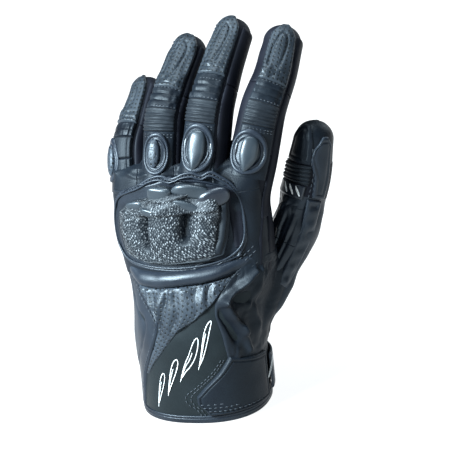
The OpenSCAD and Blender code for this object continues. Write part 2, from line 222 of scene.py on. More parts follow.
# Each finger: its tip's centre from its last joint, its root in the palm, half widths and half depths at its root,
# knuckle, first bone, middle joint, tip joint and tip, and the turn of its back at the root and from the knuckle on.
SHAPES = {
    "index": dict(tip=(3, 12, 15), root=(44.6, 2.5, 110), w=(12.6, 13.2, 13.8, 13.0, 12.0, 11.2),
                  t=(14.5, 13.6, 12.6, 11.9, 11.0, 10.2), turn=(8, 18)),
    "middle": dict(tip=(4.5, 14, 15), root=(20.9, 2, 110), w=(12.2, 12.8, 13.4, 13.0, 11.7, 10.9),
                   t=(18.4, 15.5, 12.6, 11.9, 11.0, 10.1), turn=(0, 2)),
    "ring": dict(tip=(5, 13, 14), root=(-3.2, 2, 110), w=(12.1, 12.3, 12.5, 12.3, 11.3, 10.5),
                 t=(18.4, 15.2, 12.2, 11.5, 10.6, 9.9), turn=(-2, -8)),
    "little": dict(tip=(2.5, 10, 11), root=(-25.2, 4, 107), w=(11.6, 11.6, 11.5, 11.4, 10.6, 9.7),
                   t=(13.6, 12.6, 11.5, 11.0, 10.0, 9.3), turn=(-10, -24)),
}


def make_limb(name):
    shape = SHAPES[name]
    knuckle, middle, end = (JOINT[f"{name}_{j}"] for j in ("knuckle", "middle_joint", "tip_joint"))
    points = [lean(shape["root"]), knuckle, middle, end, end + turned(shape["tip"])]
    runs = np.cumsum([0] + [np.linalg.norm(b - a) for a, b in zip(points, points[1:])])
    root, bone = -runs[1], runs[2] - runs[1]
    stations = (root, 0, 0.4 * bone, bone, runs[3] - runs[1], runs[4] - runs[1])
    first, last = shape["turn"]
    return Limb(points, stations, shape["w"], shape["t"], (first, 0.5 * (first + last), last, last, last, last),
                (0.78, 0.82, 0.9, 0.92, 0.95, 1))


def make_thumb():
    base, end = JOINT["thumb_base_joint"], JOINT["thumb_tip_joint"]
    points = [lean(Trunk.thumb_root - np.array((4, 2, 12))), lean(Trunk.thumb_root), base, end,
              end + turned((7, 1, 23))]
    runs = np.cumsum([0] + [np.linalg.norm(b - a) for a, b in zip(points, points[1:])])
    stations = (-runs[2], runs[1] - runs[2], 0, runs[3] - runs[2], runs[3] - runs[2] + 12, runs[4] - runs[2])
    limb = Limb(points, stations, (9, 12.2, 13.7, 13.3, 12.9, 11.4), (9, 12.4, 13.2, 12.6, 12.0, 10.6),
                (46,) * 6, (0.95,) * 6)
    limb.runs = runs - runs[2]
    limb.length = limb.runs[-1]
    return limb


LIMBS = {name: make_limb(name) for name in FINGERS}
LIMBS["thumb"] = make_thumb()


# ---- Meshes

def spread(count, low=0.0, high=1.0, ends=3):
    """Steps from low to high, closer together at both ends."""
    t = np.linspace(0, 1, count + 1)
    for _ in range(ends):
        t = t - 0.5 * np.sin(2 * np.pi * t) / (2 * np.pi)
    return low + (high - low) * t


def along_edge(edge, s):
    """An edge is one number, or a table of (place, value)."""
    if np.isscalar(edge):
        return np.full_like(np.asarray(s, float), edge)
    table = np.array(edge, float)
    order = np.argsort(table[:, 0])
    return np.interp(s, table[order, 0], table[order, 1])


def finish_mesh(name, points, faces, cover, mover, replaces=(), lift=None, uv=None, weld=0.0):
    mat, slot = cover
    mesh = bpy.data.meshes.new(name)
    mesh.from_pydata([tuple(p) for p in np.asarray(points) * MM], [], faces)
    if lift is not None:
        mesh.attributes.new("lift", "FLOAT", "POINT").data.foreach_set("value", np.asarray(lift, np.float32).ravel())
    if uv is not None:
        layer = mesh.uv_layers.new(name="mm")
        loops = np.empty(len(mesh.loops), int)
        mesh.loops.foreach_get("vertex_index", loops)
        layer.data.foreach_set("uv", np.asarray(uv, np.float32)[loops].ravel())
    mesh.polygons.foreach_set("use_smooth", [True] * len(mesh.polygons))
    if weld:
        bm = bmesh.new()
        bm.from_mesh(mesh)
        bmesh.ops.remove_doubles(bm, verts=bm.verts, dist=weld * MM)
        bmesh.ops.recalc_face_normals(bm, faces=bm.faces)
        bm.to_mesh(mesh)
        bm.free()
    mesh.materials.append(mat)
    obj = bpy.data.objects.new(name, mesh)
    bpy.context.collection.objects.link(obj)
    if mover in MOVERS:
        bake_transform(obj)
    else:
        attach(obj, mover)
    if replaces:
        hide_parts(*replaces)
    return obj


def run_along(points, axis):
    """How far each grid point is from the first one, along the rows or the columns."""
    steps = np.linalg.norm(np.diff(points, axis=axis), axis=-1)
    return np.concatenate([np.zeros_like(steps.take([0], axis)), np.cumsum(steps, axis)], axis)


def sheet_faces(rows, cols, ring=False):
    faces = []
    last = cols if ring else cols - 1
    for i in range(rows - 1):
        for j in range(last):
            k = (j + 1) % cols
            quad = (i * cols + j, i * cols + k, (i + 1) * cols + k, (i + 1) * cols + j)
            faces.append(quad)
    return faces


def slab(name, surf, s, a, top, bottom, cover, mover, replaces=(), ring=False, lift=None):
    """A closed skin between the heights top and bottom over a grid of places (s, a)."""
    rows, cols = s.shape
    upper, lower = surf.at(s, a, top), surf.at(s, a, bottom)
    n = rows * cols
    faces = sheet_faces(rows, cols, ring)
    faces += [tuple(q + n for q in f[::-1]) for f in faces]
    last = cols if ring else cols - 1
    for j in range(last):
        k = (j + 1) % cols
        faces.append((k, j, j + n, k + n))
        end = (rows - 1) * cols
        faces.append((end + j, end + k, end + k + n, end + j + n))
    if not ring:
        for i in range(rows - 1):
            faces.append((i * cols, (i + 1) * cols, (i + 1) * cols + n, i * cols + n))
            faces.append(((i + 1) * cols + cols - 1, i * cols + cols - 1, i * cols + cols - 1 + n,
                          (i + 1) * cols + cols - 1 + n))
    run, turn = run_along(upper, 0), run_along(upper, 1)
    turn = turn - turn[:, cols // 2][:, None]
    uv = np.stack([turn.ravel(), run.ravel()], -1)
    if lift is None:
        lift = np.zeros(s.shape)
    full = np.concatenate([lift.ravel(), lift.ravel()])
    return finish_mesh(name, np.concatenate([upper.reshape(-1, 3), lower.reshape(-1, 3)]), faces, cover, mover,
                       replaces, full, np.concatenate([uv, uv]), weld=0.002)


def rolled(surf, s, a, radius, sides=(1, 1, 1, 1)):
    """From 0 at the edges to 1 a radius inside them, as a quarter circle. sides: low s, high s, low a, high a."""
    flat = surf.at(s, a)
    run, turn = run_along(flat, 0), run_along(flat, 1)
    far = 99.0
    gaps = [run if sides[0] else far, (run[-1] - run) if sides[1] else far,
            turn if sides[2] else far, (turn[:, -1:] - turn) if sides[3] else far]
    d = np.minimum.reduce([np.broadcast_to(g, s.shape) for g in gaps])
    t = np.clip(d / radius, 0, 1)
    return np.sqrt(1 - (1 - t) ** 2), d


def panel(name, surf, s0, s1, a0, a1, cover, mover, thick=1.2, base=0.0, radius=1.4, sides=(1, 1, 1, 1),
          relief=None, rows=40, cols=40, sink=0.35, replaces=(), ring=False, ends=2, low=None):
    """A panel between edges. s0 and s1 may be tables over the share of the width, a0 and a1 tables over s."""
    u = spread(rows, ends=ends)[:, None]
    v = (np.arange(cols) / cols if ring else spread(cols, ends=ends))[None, :]
    lo, hi = along_edge(s0, v), along_edge(s1, v)
    s = lo + (hi - lo) * u
    b0, b1 = along_edge(a0, s), along_edge(a1, s)
    a = b0 + (b1 - b0) * v
    shape, d = rolled(surf, s, a, radius, sides)
    top = base + thick * shape
    if relief is not None:
        top = top + relief(s, a, d) * np.clip(shape, 0, 1)
    bottom = np.full_like(top, base - sink) if low is None else np.full_like(top, low)
    # lift is 1 at the panel's edge, where leather materials paint a highlight.
    lift = np.exp(-np.clip(d, 0, 9) / 1.3)
    return slab(name, surf, s, a, top, bottom, cover, mover, replaces, ring, lift)


def disc(name, surf, centre, half, outline, height, cover, mover, base=0.0, sink=0.4, rings=22, sides=56,
         replaces=()):
    """A patch around a centre (s, a). half is its reach (mm along, mm around), outline(angle) scales it, and
    height(share, angle) is its top, share running from 0 in the middle to 1 at the rim."""
    share = np.concatenate([[0.0], np.sin(np.linspace(0.06, 1, rings) * np.pi / 2)])[:, None]
    turn = (np.arange(sides) * 2 * np.pi / sides)[None, :]
    reach = outline(turn)
    per_mm = 1 / np.linalg.norm(surf.at(centre[0], centre[1] + 0.5) - surf.at(centre[0], centre[1] - 0.5))
    s = centre[0] + half[0] * reach * share * np.cos(turn)
    a = centre[1] + per_mm * half[1] * reach * share * np.sin(turn)
    top = base + height(share + 0 * turn, turn + 0 * share)
    # lift is 1 at the rim, where leather materials paint a highlight.
    lift = np.exp(-(1 - share) * min(half) / 1.3) + 0 * turn
    return slab(name, surf, s, a, top, np.full_like(top, base - sink), cover, mover, replaces, True, lift)


def on_surface(surf, path, h):
    p = np.asarray(path, float)
    return surf.at(p[:, 0], p[:, 1], h)


def evenly(points, pitch, closed=False):
    run = run_along(points, 0)
    count = max(2, int(round(run[-1] / pitch)))
    at = np.linspace(0, run[-1], count, endpoint=not closed)
    return np.stack([np.interp(at, run, points[:, k]) for k in range(3)], -1)


def cord(name, surf, path, cover, mover, r=0.8, h=0.5, closed=False, smooth=True, flat=1.0, replaces=(), sides=8):
    """A round piping along a path of places on a surface."""
    p = through(path, 10 * len(path), closed) if smooth else np.array(path, float)
    c, up = on_surface(surf, p, h), on_surface(surf, p, h + 1.0)
    if closed:
        c, up = c[:-1], up[:-1]
    d = np.roll(c, -1, 0) - np.roll(c, 1, 0)
    if not closed:
        d[0], d[-1] = c[1] - c[0], c[-1] - c[-2]
    d = unit(d)
    n = unit(up - c)
    side = unit(np.cross(d, n))
    n = np.cross(side, d)
    t = np.arange(sides) * 2 * np.pi / sides
    rr = np.full(len(c), r)
    if not closed:
        from_end = np.clip(np.minimum(np.arange(len(c)), np.arange(len(c))[::-1]) / 3, 0.05, 1)
        rr = r * np.sqrt(np.clip(1 - (1 - from_end) ** 2, 0, 1))
    wide, high = rr[:, None] * np.cos(t), flat * rr[:, None] * np.sin(t)
    pts = c[:, None] + side[:, None] * wide[..., None] + n[:, None] * high[..., None]
    rows = len(c)
    faces = sheet_faces(rows, sides, True)
    if closed:
        far = (rows - 1) * sides
        faces += [(far + j, far + (j + 1) % sides, (j + 1) % sides, j) for j in range(sides)]
    else:
        faces += [tuple(range(sides))[::-1], tuple((rows - 1) * sides + j for j in range(sides))]
    run = run_along(c, 0)
    uv = np.stack([np.broadcast_to(t * r, (rows, sides)), np.broadcast_to(run[:, None], (rows, sides))],
                  -1).reshape(-1, 2)
    # lift 0.5 gives cords half of the leather's painted edge highlight.
    return finish_mesh(name, pts.reshape(-1, 3), faces, cover, mover, replaces, np.full(rows * sides, 0.5), uv,
                       weld=0.0005)


def mark(name, surf, outline, cover, mover, h):
    """The thin flat outline of a printed mark."""
    return cord(name, surf, outline, cover, mover, r=0.3, h=h, closed=True, flat=0.5, sides=6)


def stitches(name, surf, paths, cover, mover, length=2.0, gap=0.9, r=0.3, h=0.15):
    """Rows of raised thread stitches along paths of places on a surface."""
    t = np.arange(6) * np.pi / 3
    shares = np.array((-0.5, -0.38, 0.38, 0.5))
    sizes = np.array((0.15, 1.0, 1.0, 0.15))
    all_points, faces = [], []
    for path in paths:
        p = through(path, 12 * len(path))
        c = evenly(on_surface(surf, p, h), length + gap)
        up = evenly(on_surface(surf, p, h + 1.0), length + gap)
        m = min(len(c), len(up))
        c, up = c[:m], up[:m]
        d = unit(np.gradient(c, axis=0))
        n = unit(up - c)
        side = unit(np.cross(d, n))
        for k in range(m - 1):
            start = len(all_points)
            for share, size in zip(shares, sizes):
                arch = 0.25 * (1 - (2 * share) ** 2)
                for q in t:
                    all_points.append(c[k] + d[k] * share * length + side[k] * (r * size * math.cos(q))
                                      + n[k] * (r * size * math.sin(q) + arch - 0.1))
            for i in range(3):
                for j in range(6):
                    k2 = (j + 1) % 6
                    faces.append((start + i * 6 + j, start + i * 6 + k2, start + (i + 1) * 6 + k2,
                                  start + (i + 1) * 6 + j))
            faces.append(tuple(start + j for j in range(5, -1, -1)))
            faces.append(tuple(start + 18 + j for j in range(6)))
    return finish_mesh(name, np.array(all_points), faces, cover, mover)


# ---- What a piece follows: a body's name, which parents it to that body, or one of these joints, listed with its two bodies and two points, which leaves the piece unparented in place

MOVERS = {"wrist": ("cuff", "hand", np.array((4.7, 0.0, 39.0)), lean((4.7, 0.0, 60.0)))}
for f in FINGERS:
    limb_points = [JOINT[f"{f}_{j}"] for j in ("knuckle", "middle_joint", "tip_joint")]
    one, two = unit(limb_points[1] - limb_points[0]), unit(limb_points[2] - limb_points[1])
    MOVERS[f"{f}_knuckle"] = ("hand", f"{f}_proximal", limb_points[0] - one * 8, limb_points[0] + one * 14)
    bend = unit(one + two)
    MOVERS[f"{f}_middle_joint"] = (f"{f}_proximal", f"{f}_middle", limb_points[1] - bend * 9,
                                   limb_points[1] + bend * 8)
    MOVERS[f"{f}_tip_joint"] = (f"{f}_middle", f"{f}_distal", limb_points[2] - two * 5, limb_points[2] + two * 5)
thumb_bone = unit(JOINT["thumb_tip_joint"] - JOINT["thumb_base_joint"])
thumb_start = unit(JOINT["thumb_base_joint"] - lean(Trunk.thumb_root))
MOVERS["thumb_base_joint"] = ("hand", "thumb_proximal", JOINT["thumb_base_joint"] - thumb_start * 14,
                              JOINT["thumb_base_joint"] + thumb_bone * 9)
MOVERS["thumb_tip_joint"] = ("thumb_proximal", "thumb_distal", JOINT["thumb_tip_joint"] - thumb_bone * 6,
                             JOINT["thumb_tip_joint"] + thumb_bone * 7)


# ---- Materials

Cover = namedtuple("Cover", "mat slot")
COOL_GLOSS = (0.76, 0.91, 1.0, 1)


def as_slot(cover, slot):
    return cover._replace(slot=slot)


class Nodes:
    """A material's nodes. A colour or number from a node is written (node, output)."""

    def __init__(self, name):
        self.mat = bpy.data.materials.new(name)
        self.mat.use_nodes = True
        self.tree = self.mat.node_tree
        self.tree.nodes.clear()
        out = self.new("OutputMaterial")
        self.shader = self.new("BsdfPrincipled")
        self.sets(Specular_Tint=COOL_GLOSS)
        self.link((self.shader, 0), out, 0)

    @cached_property
    def where(self):
        return self.new("TexCoord"), 3

    @cached_property
    def flat(self):
        return self.new("UVMap", uv_map="mm"), 0

    @cached_property
    def lift(self):
        return self.new("Attribute", attribute_name="lift"), 2

    def new(self, kind, **values):
        node = self.tree.nodes.new("ShaderNode" + kind)
        for key, value in values.items():
            if hasattr(node, key):
                setattr(node, key, value)
            else:
                node.inputs[key.replace("_", " ")].default_value = value
        return node

    def sets(self, **values):
        """Constants, on the shader's own sockets."""
        for key, value in values.items():
            self.shader.inputs[key.replace("_", " ")].default_value = value

    def link(self, source, node, into):
        self.tree.links.new(source[0].outputs[source[1]], node.inputs[into])

    def feeds(self, **sources):
        for key, source in sources.items():
            self.link(source, self.shader, key.replace("_", " "))

    def pattern(self, kind, source, **values):
        node = self.new(kind, **values)
        self.link(source, node, "Vector")
        return node

    def noise(self, mm, **values):
        return self.pattern("TexNoise", self.where, Scale=1 / (mm * MM), **values), 0

    def maths(self, kind, a, b, clamp=False):
        node = self.new("Math", operation=kind, use_clamp=clamp)
        for k, x in enumerate((a, b)):
            if isinstance(x, tuple):
                self.link(x, node, k)
            else:
                node.inputs[k].default_value = x
        return node, 0

    def ramp(self, source, *stops):
        """stops: (place, colour), or (place, grey)."""
        node = self.new("ValToRGB")
        ramp = node.color_ramp
        while len(ramp.elements) < len(stops):
            ramp.elements.new(0.5)
        for e, (at, colour) in zip(ramp.elements, stops):
            e.position = at
            e.color = (*colour, 1) if isinstance(colour, tuple) else (colour,) * 3 + (1,)
        self.link(source, node, 0)
        return node, 0

    def mix(self, share, a, b, blend="MIX"):
        node = self.new("Mix", data_type="RGBA", blend_type=blend)
        for k, x in ((0, share), (6, a), (7, b)):
            if isinstance(x, tuple) and not isinstance(x[0], (int, float)):
                self.link(x, node, k)
            else:
                node.inputs[k].default_value = x if k == 0 else (*x, 1)
        return node, 2

    def bumped(self, height, strength, mm):
        relief = self.new("Bump", Strength=strength, Distance=mm * MM)
        self.link(height, relief, "Height")
        self.link((relief, 0), self.shader, "Normal")


def leather(name, base, light, grain_mm=0.9, rough=0.42, bump=0.5, edge_highlight=0.3, specular=0.5, holes=0.0, crumple=0.3):
    """Leather: pebbled grain, fine wrinkles, a painted highlight that lightens panel edges, and punched holes if
    holes is their pitch in mm.
    """
    n = Nodes(name)
    cells = n.pattern("TexVoronoi", n.where, feature="SMOOTH_F1", Scale=1 / (grain_mm * MM), Smoothness=0.6), 0
    folds = n.noise(7.0, Detail=5.0, Roughness=0.55, Distortion=0.6)
    cloud = n.noise(22, Detail=3.0)
    # Painted highlight: the colour is mixed towards a lighter tone where lift is high, at panel and patch edges and
    # along cords.
    highlight_tone = tuple(min(1.0, 2.2 * c + 0.01) for c in light)
    tone = n.mix(n.maths("MULTIPLY", n.lift, edge_highlight, True), n.ramp(cloud, (0.32, base), (0.72, light)), highlight_tone)
    tone = n.mix(0.8, tone, n.ramp(cells, (0.15, 1), (0.75, (0.72, 0.72, 0.74))), "MULTIPLY")
    height = n.maths("ADD", n.maths("MULTIPLY", cells, -0.35), n.maths("MULTIPLY", folds, crumple))
    if holes:
        dots = n.pattern("TexVoronoi", n.flat, Scale=1 / holes, Randomness=0.12, voronoi_dimensions="2D"), 0
        hole = n.ramp(dots, (0.19, 0), (0.26, 1))
        tone = n.mix(0.97, tone, hole, "MULTIPLY")
        height = n.maths("ADD", height, n.maths("MULTIPLY", hole, 1.1))
    n.bumped(height, bump, 0.35)
    n.feeds(Base_Color=tone, Roughness=n.ramp(cloud, (0.25, rough - 0.06), (0.8, rough + 0.12)))
    n.sets(Specular_IOR_Level=specular)
    return n.mat


def cloth(name, base, light, pitch_mm=0.55, rough=0.7, sheen=0.25, bump=0.35, specular=0.35):
    """A fine woven or knitted cloth, from crossed waves over the piece's own millimetres."""
    n = Nodes(name)
    waves = [(n.pattern("TexWave", n.flat, wave_type="BANDS", bands_direction=direction, Scale=1 / pitch_mm / 3.14,
                        Distortion=0.3), 1) for direction in "XY"]
    weave = n.maths("MULTIPLY", *waves)
    blend = n.maths("ADD", n.maths("MULTIPLY", weave, 0.45), n.maths("MULTIPLY", n.noise(14, Detail=3.0), 0.6))
    n.bumped(weave, bump, 0.15)
    n.feeds(Base_Color=n.ramp(blend, (0.15, base), (0.85, light)))
    n.sets(Roughness=rough, Specular_IOR_Level=specular, Sheen_Weight=sheen, Sheen_Roughness=0.4)
    return n.mat


def carbon(name):
    """A moulded carbon-look weave: bright flakes in slanted rows, smooth and dark where lift is 1."""
    n = Nodes(name)
    slanted = n.pattern("Mapping", n.flat, Rotation=(0, 0, math.radians(38)), Scale=(1.0, 0.72, 1.0)), 0
    cells = n.pattern("TexVoronoi", slanted, Scale=0.78, Randomness=0.6, voronoi_dimensions="2D")
    parts = n.new("SeparateColor")
    n.link((cells, 1), parts, 0)
    chance = n.ramp((parts, 0), (0.1, 0.1), (0.6, 0.32), (1.0, 1.0))
    flake = n.maths("MULTIPLY", chance, n.ramp((cells, 0), (0.16, 1), (0.42, 0)))
    flake = n.maths("MULTIPLY", flake, n.maths("SUBTRACT", 1.0, n.lift, True))
    n.bumped(flake, 0.45, 0.3)
    n.feeds(Base_Color=n.mix(flake, (0.003, 0.005, 0.008), (0.24, 0.28, 0.305)))
    n.sets(Roughness=0.5, Specular_IOR_Level=0.22)
    return n.mat


def plastic(name, base, light, rough=0.22, coat=0.3):
    """Smooth moulded plastic with faint flow marks and fine scratches."""
    n = Nodes(name)
    fine = n.noise(0.6, Detail=2.0)
    n.bumped(fine, 0.12, 0.1)
    n.feeds(Base_Color=n.ramp(n.noise(9, Detail=4.0), (0.3, base), (0.75, light)),
            Roughness=n.ramp(fine, (0.3, rough), (0.8, rough + 0.1)))
    n.sets(Coat_Weight=coat)
    return n.mat


BLACK, STEEL = (0.0020, 0.0034, 0.0062), (0.0056, 0.0094, 0.0145)
OUTER = Cover(leather("outer_leather", BLACK, STEEL, specular=0.18, rough=0.44), "outer_leather")
SMOOTH = Cover(leather("smooth_leather", (0.0045, 0.007, 0.012), (0.012, 0.018, 0.027), grain_mm=0.7, rough=0.36,
                       bump=0.3, crumple=0.15, specular=0.3), "outer_leather")
PALM = Cover(leather("palm_leather", (0.006, 0.008, 0.011), (0.013, 0.017, 0.023), grain_mm=0.8, rough=0.6, bump=0.6,
                     specular=0.2), "palm_leather")
PERFORATED = Cover(leather("perforated_leather", (0.008, 0.012, 0.018), (0.022, 0.032, 0.044), holes=3.0, rough=0.38,
                           specular=0.4), "perforated_leather")
TIP_LEATHER = Cover(leather("tip_leather", (0.0070, 0.0108, 0.0155), (0.017, 0.0245, 0.033), holes=2.7, rough=0.42,
                            crumple=0.25, specular=0.35), "outer_leather")
SIDES = Cover(leather("side_leather", (0.003, 0.0035, 0.007), (0.006, 0.007, 0.012), grain_mm=0.6, rough=0.55,
                      bump=0.3, edge_highlight=0.1, crumple=0.12, specular=0.14), "finger_stretch")
SATIN = Cover(cloth("satin_stretch", (0.0034, 0.0058, 0.0070), (0.0092, 0.0140, 0.0165), rough=0.5, sheen=0.03,
                    specular=0.16), "satin_stretch")
STRETCH = Cover(cloth("rib_stretch", (0.004, 0.006, 0.009), (0.012, 0.017, 0.023), rough=0.5, sheen=0.03,
                      specular=0.2),
                "finger_stretch")
LINING = Cover(cloth("lining", (0.020, 0.022, 0.026), (0.05, 0.054, 0.06), pitch_mm=0.9, rough=0.9, sheen=0.3,
                     bump=0.6),
               "lining")
LOOPS = Cover(cloth("hook_and_loop", (0.005, 0.005, 0.007), (0.016, 0.016, 0.020), pitch_mm=0.8, rough=0.95,
                    sheen=0.3, bump=1.0), "hook_and_loop")
FOAM = Cover(cloth("foam", (0.02, 0.02, 0.022), (0.04, 0.04, 0.043), pitch_mm=1.3, rough=0.9, sheen=0.1, bump=0.6),
             "foam")
THREAD = Cover(cloth("thread", (0.014, 0.019, 0.026), (0.05, 0.064, 0.078), pitch_mm=0.4, rough=0.5, sheen=0.1),
               "piping_leather")
WHITE = Cover(plastic("white_print", (0.50, 0.55, 0.56), (0.72, 0.77, 0.78), rough=0.5, coat=0.0), "satin_stretch")
CARBON = Cover(carbon("carbon_weave"), "hard_guard")
HARD = Cover(plastic("hard_plastic", (0.008, 0.013, 0.018), (0.018, 0.026, 0.034), rough=0.33, coat=0.1),
             "hard_insert")
DARK_HARD = Cover(plastic("dark_plastic", (0.004, 0.005, 0.009), (0.009, 0.012, 0.018), rough=0.28, coat=0.1),
                  "hard_insert")
PIPING = as_slot(SMOOTH, "piping_leather")
HAND_SIDES = as_slot(SIDES, "outer_leather")


# ---- Cuff and wrist

def lines(s, a, path, width, mm_per_degree=0.72):
    """1 on the line through path's places (s, a), falling off over width millimetres."""
    p = through(path, 12 * len(path))
    x, y = np.asarray(s, float)[..., None], np.asarray(a, float)[..., None] * mm_per_degree
    d = np.min(np.hypot(x - p[:, 0], y - p[:, 1] * mm_per_degree), axis=-1)
    return np.exp(-(d / width) ** 2)


def ring_slab(name, surf, s, top, bottom, cover, mover, replaces=(), count=128):
    s = np.asarray(s, float)
    grid_s = np.repeat(s[:, None], count, 1)
    grid_a = np.repeat(np.arange(count)[None, :] * 360 / count, len(s), 0)
    shape = lambda h: h(grid_s, grid_a) if callable(h) else np.full(grid_s.shape, float(h))
    return slab(name, surf, grid_s, grid_a, shape(top), shape(bottom), cover, mover, replaces, True)


def hem_height(s, a):
    roll = np.sqrt(np.clip(1 - ((s - 2.5) / 2.5) ** 2, 0, 1)) ** 0.6
    return 0.1 + roll - 0.35 * bell(s, 3.4, 0.35) - 0.25 * bell(s, 1.5, 0.3)


ring_slab("hem_binding", trunk, np.linspace(0.02, 5, 22), hem_height, -2.0, PIPING, "cuff", ["cuff_hem"])
ring_slab("cuff_lining_cloth", trunk, np.linspace(3, 40, 20), -1.6, -2.3, LINING, "cuff", ["cuff_lining"], 96)
ring_slab("hand_lining_cloth", trunk, np.linspace(39, 110.5, 40), -1.6, -2.3, LINING, "wrist", ["hand_lining"], 96)


def satin_relief(s, a, d):
    return 0.35 * grain(a / 26, s / 20, 3) + 0.5 * bell(s, 49, 7) * grain(a / 12, s / 9, 4)


panel("satin_panel", trunk, 4.6, 74, 6, 154, SATIN, "wrist", thick=0.5, base=-0.3, radius=0.8,
      relief=satin_relief, rows=90, cols=80, low=-1.4, replaces=["cuff_back"])


def pucker(s, a, d):
    gather = ease(s, 36, 60)
    folds = 1.1 * gather * np.abs(np.sin(np.radians(a * 17 + 70 * grain(a / 12, s / 11, 8)))) ** 1.3
    return folds * ease(d, 0.4, 2.5) + 0.5 * gather * grain(a / 4, s / 9, 9) + 0.5 * bell(s, 70, 6)


PUCKER_RIGHT = ((29, 133), (38, 122), (46, 110), (56.5, 92), (64, 79), (72, 68), (82, 58))
CHEVRON = ((5, 149), (18, 143), (29.5, 136.5), (42, 126), (54, 114.5), (60, 112.5), (66, 117), (81, 139))
panel("perforated_gather", trunk, 29, ((0, 84), (0.3, 81.5), (0.7, 80.5), (1, 82)), PUCKER_RIGHT, CHEVRON,
      PERFORATED, "wrist", thick=1.1, radius=1.2, relief=pucker, rows=150, cols=150, replaces=["wrist_band"])


def outer_relief(s, a, d):
    second = lines(s, a, ((84, 158), (69, 149), (60.5, 131), (50, 135), (29, 160), (6, 166)), 0.9)
    return bell(a, 165, 14) * ease(s, 20, 50) - 0.8 * second + 0.35 * grain(a / 11, s / 12, 5) \
        - 1.2 * ease(s, 52, 72)


panel("outer_wrist_panel", trunk, 4.8, 88, CHEVRON, 204, SMOOTH, "wrist", thick=1.5, radius=1.6,
      relief=outer_relief, rows=110, cols=60)
stitches("chevron_stitches", trunk, [[(s, a + 3.2) for s, a in CHEVRON[1:]]], THREAD, "wrist", h=1.5)


def fold_relief(s, a, d):
    one = lines(s, a, ((68, 68), (74, 56), (84, 36)), 2.6)
    two = lines(s, a, ((69.5, 60), (61, 50), (52, 38)), 2.3)
    three = lines(s, a, ((54, 38), (49, 34), (43, 31)), 2.2)
    valley = lines(s, a, ((69, 69), (61, 60), (50, 45)), 2.6) + 0.8 * lines(s, a, ((72, 50), (70, 36), (66, 20)), 3.4)
    more = lines(s, a, ((80, 16), (64, 22), (52, 14)), 3.0) + lines(s, a, ((84, 26), (76, 24), (66, 30)), 2.4)
    return (4.6 * one + 4.6 * two + 3.2 * three - 2.8 * valley + 2.4 * more + 0.8 * grain(a / 9, s / 7, 6)
            + 0.6 * np.abs(grain(a / 5, s / 4, 16))) * ease(d, 0, 5)


panel("wrist_folds", trunk, 36, 93, -24, ((36, 54), (44, 56), (52, 59), (62, 66), (72, 69), (83, 60), (93, 44)),
      OUTER, "wrist", thick=1.2, radius=1.6, relief=fold_relief, rows=120, cols=90)

STRAP_EDGE = ((5.2, 77), (9, 80), (13, 85.5), (18, 86), (24, 79), (33, 65), (42, 54))
panel("strap_base_panel", trunk, 5.4, ((0, 35.5), (1, 42)), 4, STRAP_EDGE, as_slot(OUTER, "piping_leather"), "cuff",
      thick=2.6,
      base=0.4, radius=1.5, relief=lambda s, a, d: 0.3 * grain(a / 14, s / 9, 2) - 0.5 * bell(d, 2.6, 0.5), rows=70,
      cols=90, replaces=["strap_base"])
stitches("strap_base_stitches", trunk,
         [[(s, a + k) for s, a in STRAP_EDGE] for k in (3.4, 6.6)], THREAD, "cuff", h=0.35)
stitches("strap_box_stitches", trunk,
         [[(9, 76), (8.6, 60), (8.6, 40), (8.6, 16)], [(11.4, 80), (11, 62), (11, 46)],
          [(13.6, 82), (13.4, 72), (13.2, 60)]],
         THREAD, "cuff", h=3.1)
panel("strap_tab_leather", trunk, ((0, 9), (0.12, 6.2), (1, 6.2)), ((0, 27), (0.12, 29.8), (1, 29.8)), -108, -4,
      PIPING, "strap", thick=1.4, base=1.8, radius=1.3,
      relief=lambda s, a, d: -0.3 * bell(d, 2.2, 0.45) + 0.15 * grain(a / 12, s / 8, 1), rows=40, cols=90, low=1.75,
      replaces=["strap_tab"])
stitches("strap_tab_stitches", trunk, [[(8.4, -103), (8.4, -60), (8.4, -8)], [(27.6, -103), (27.6, -60), (27.6, -8)],
                                       [(10, -104), (18, -104.5), (26, -104)]], THREAD, "strap", h=2.95)
nap = lambda s, a, d: 0.12 * np.sin(s * 6) * np.sin(a * 5)
panel("strap_hook_tape", trunk, 8, 28, 254, 284, LOOPS, "strap", thick=0.5, base=1.05, radius=0.5,
      rows=30, cols=30, low=1.0, replaces=["strap_hook"], relief=nap)
panel("strap_loop_tape", trunk, 7, 29, 228, 286, LOOPS, "cuff", thick=0.55, base=0.15, radius=0.6,
      rows=40, cols=60, relief=nap, replaces=["strap_loop"])


def palm_relief(s, a, d):
    return 0.5 * grain(a / 13, s / 11, 7) * ease(d, 0, 4)


panel("cuff_palm_leather", trunk, 4.8, 64, 198, 372, PALM, "wrist", thick=0.9, base=-0.6, radius=1.2, low=-1.4,
      relief=palm_relief, rows=70, cols=90, replaces=["cuff_palm"])
panel("elastic_gusset", trunk, 33, 58, 284, 318, as_slot(STRETCH, "satin_stretch"), "wrist", thick=0.8, base=0.2,
      radius=1.0,
      relief=lambda s, a, d: 0.9 * np.abs(np.sin(s * 1.05)) ** 0.7 - 0.5, rows=110, cols=24, replaces=["cuff_gusset"])

# ---- The hand: leather, roll, guard

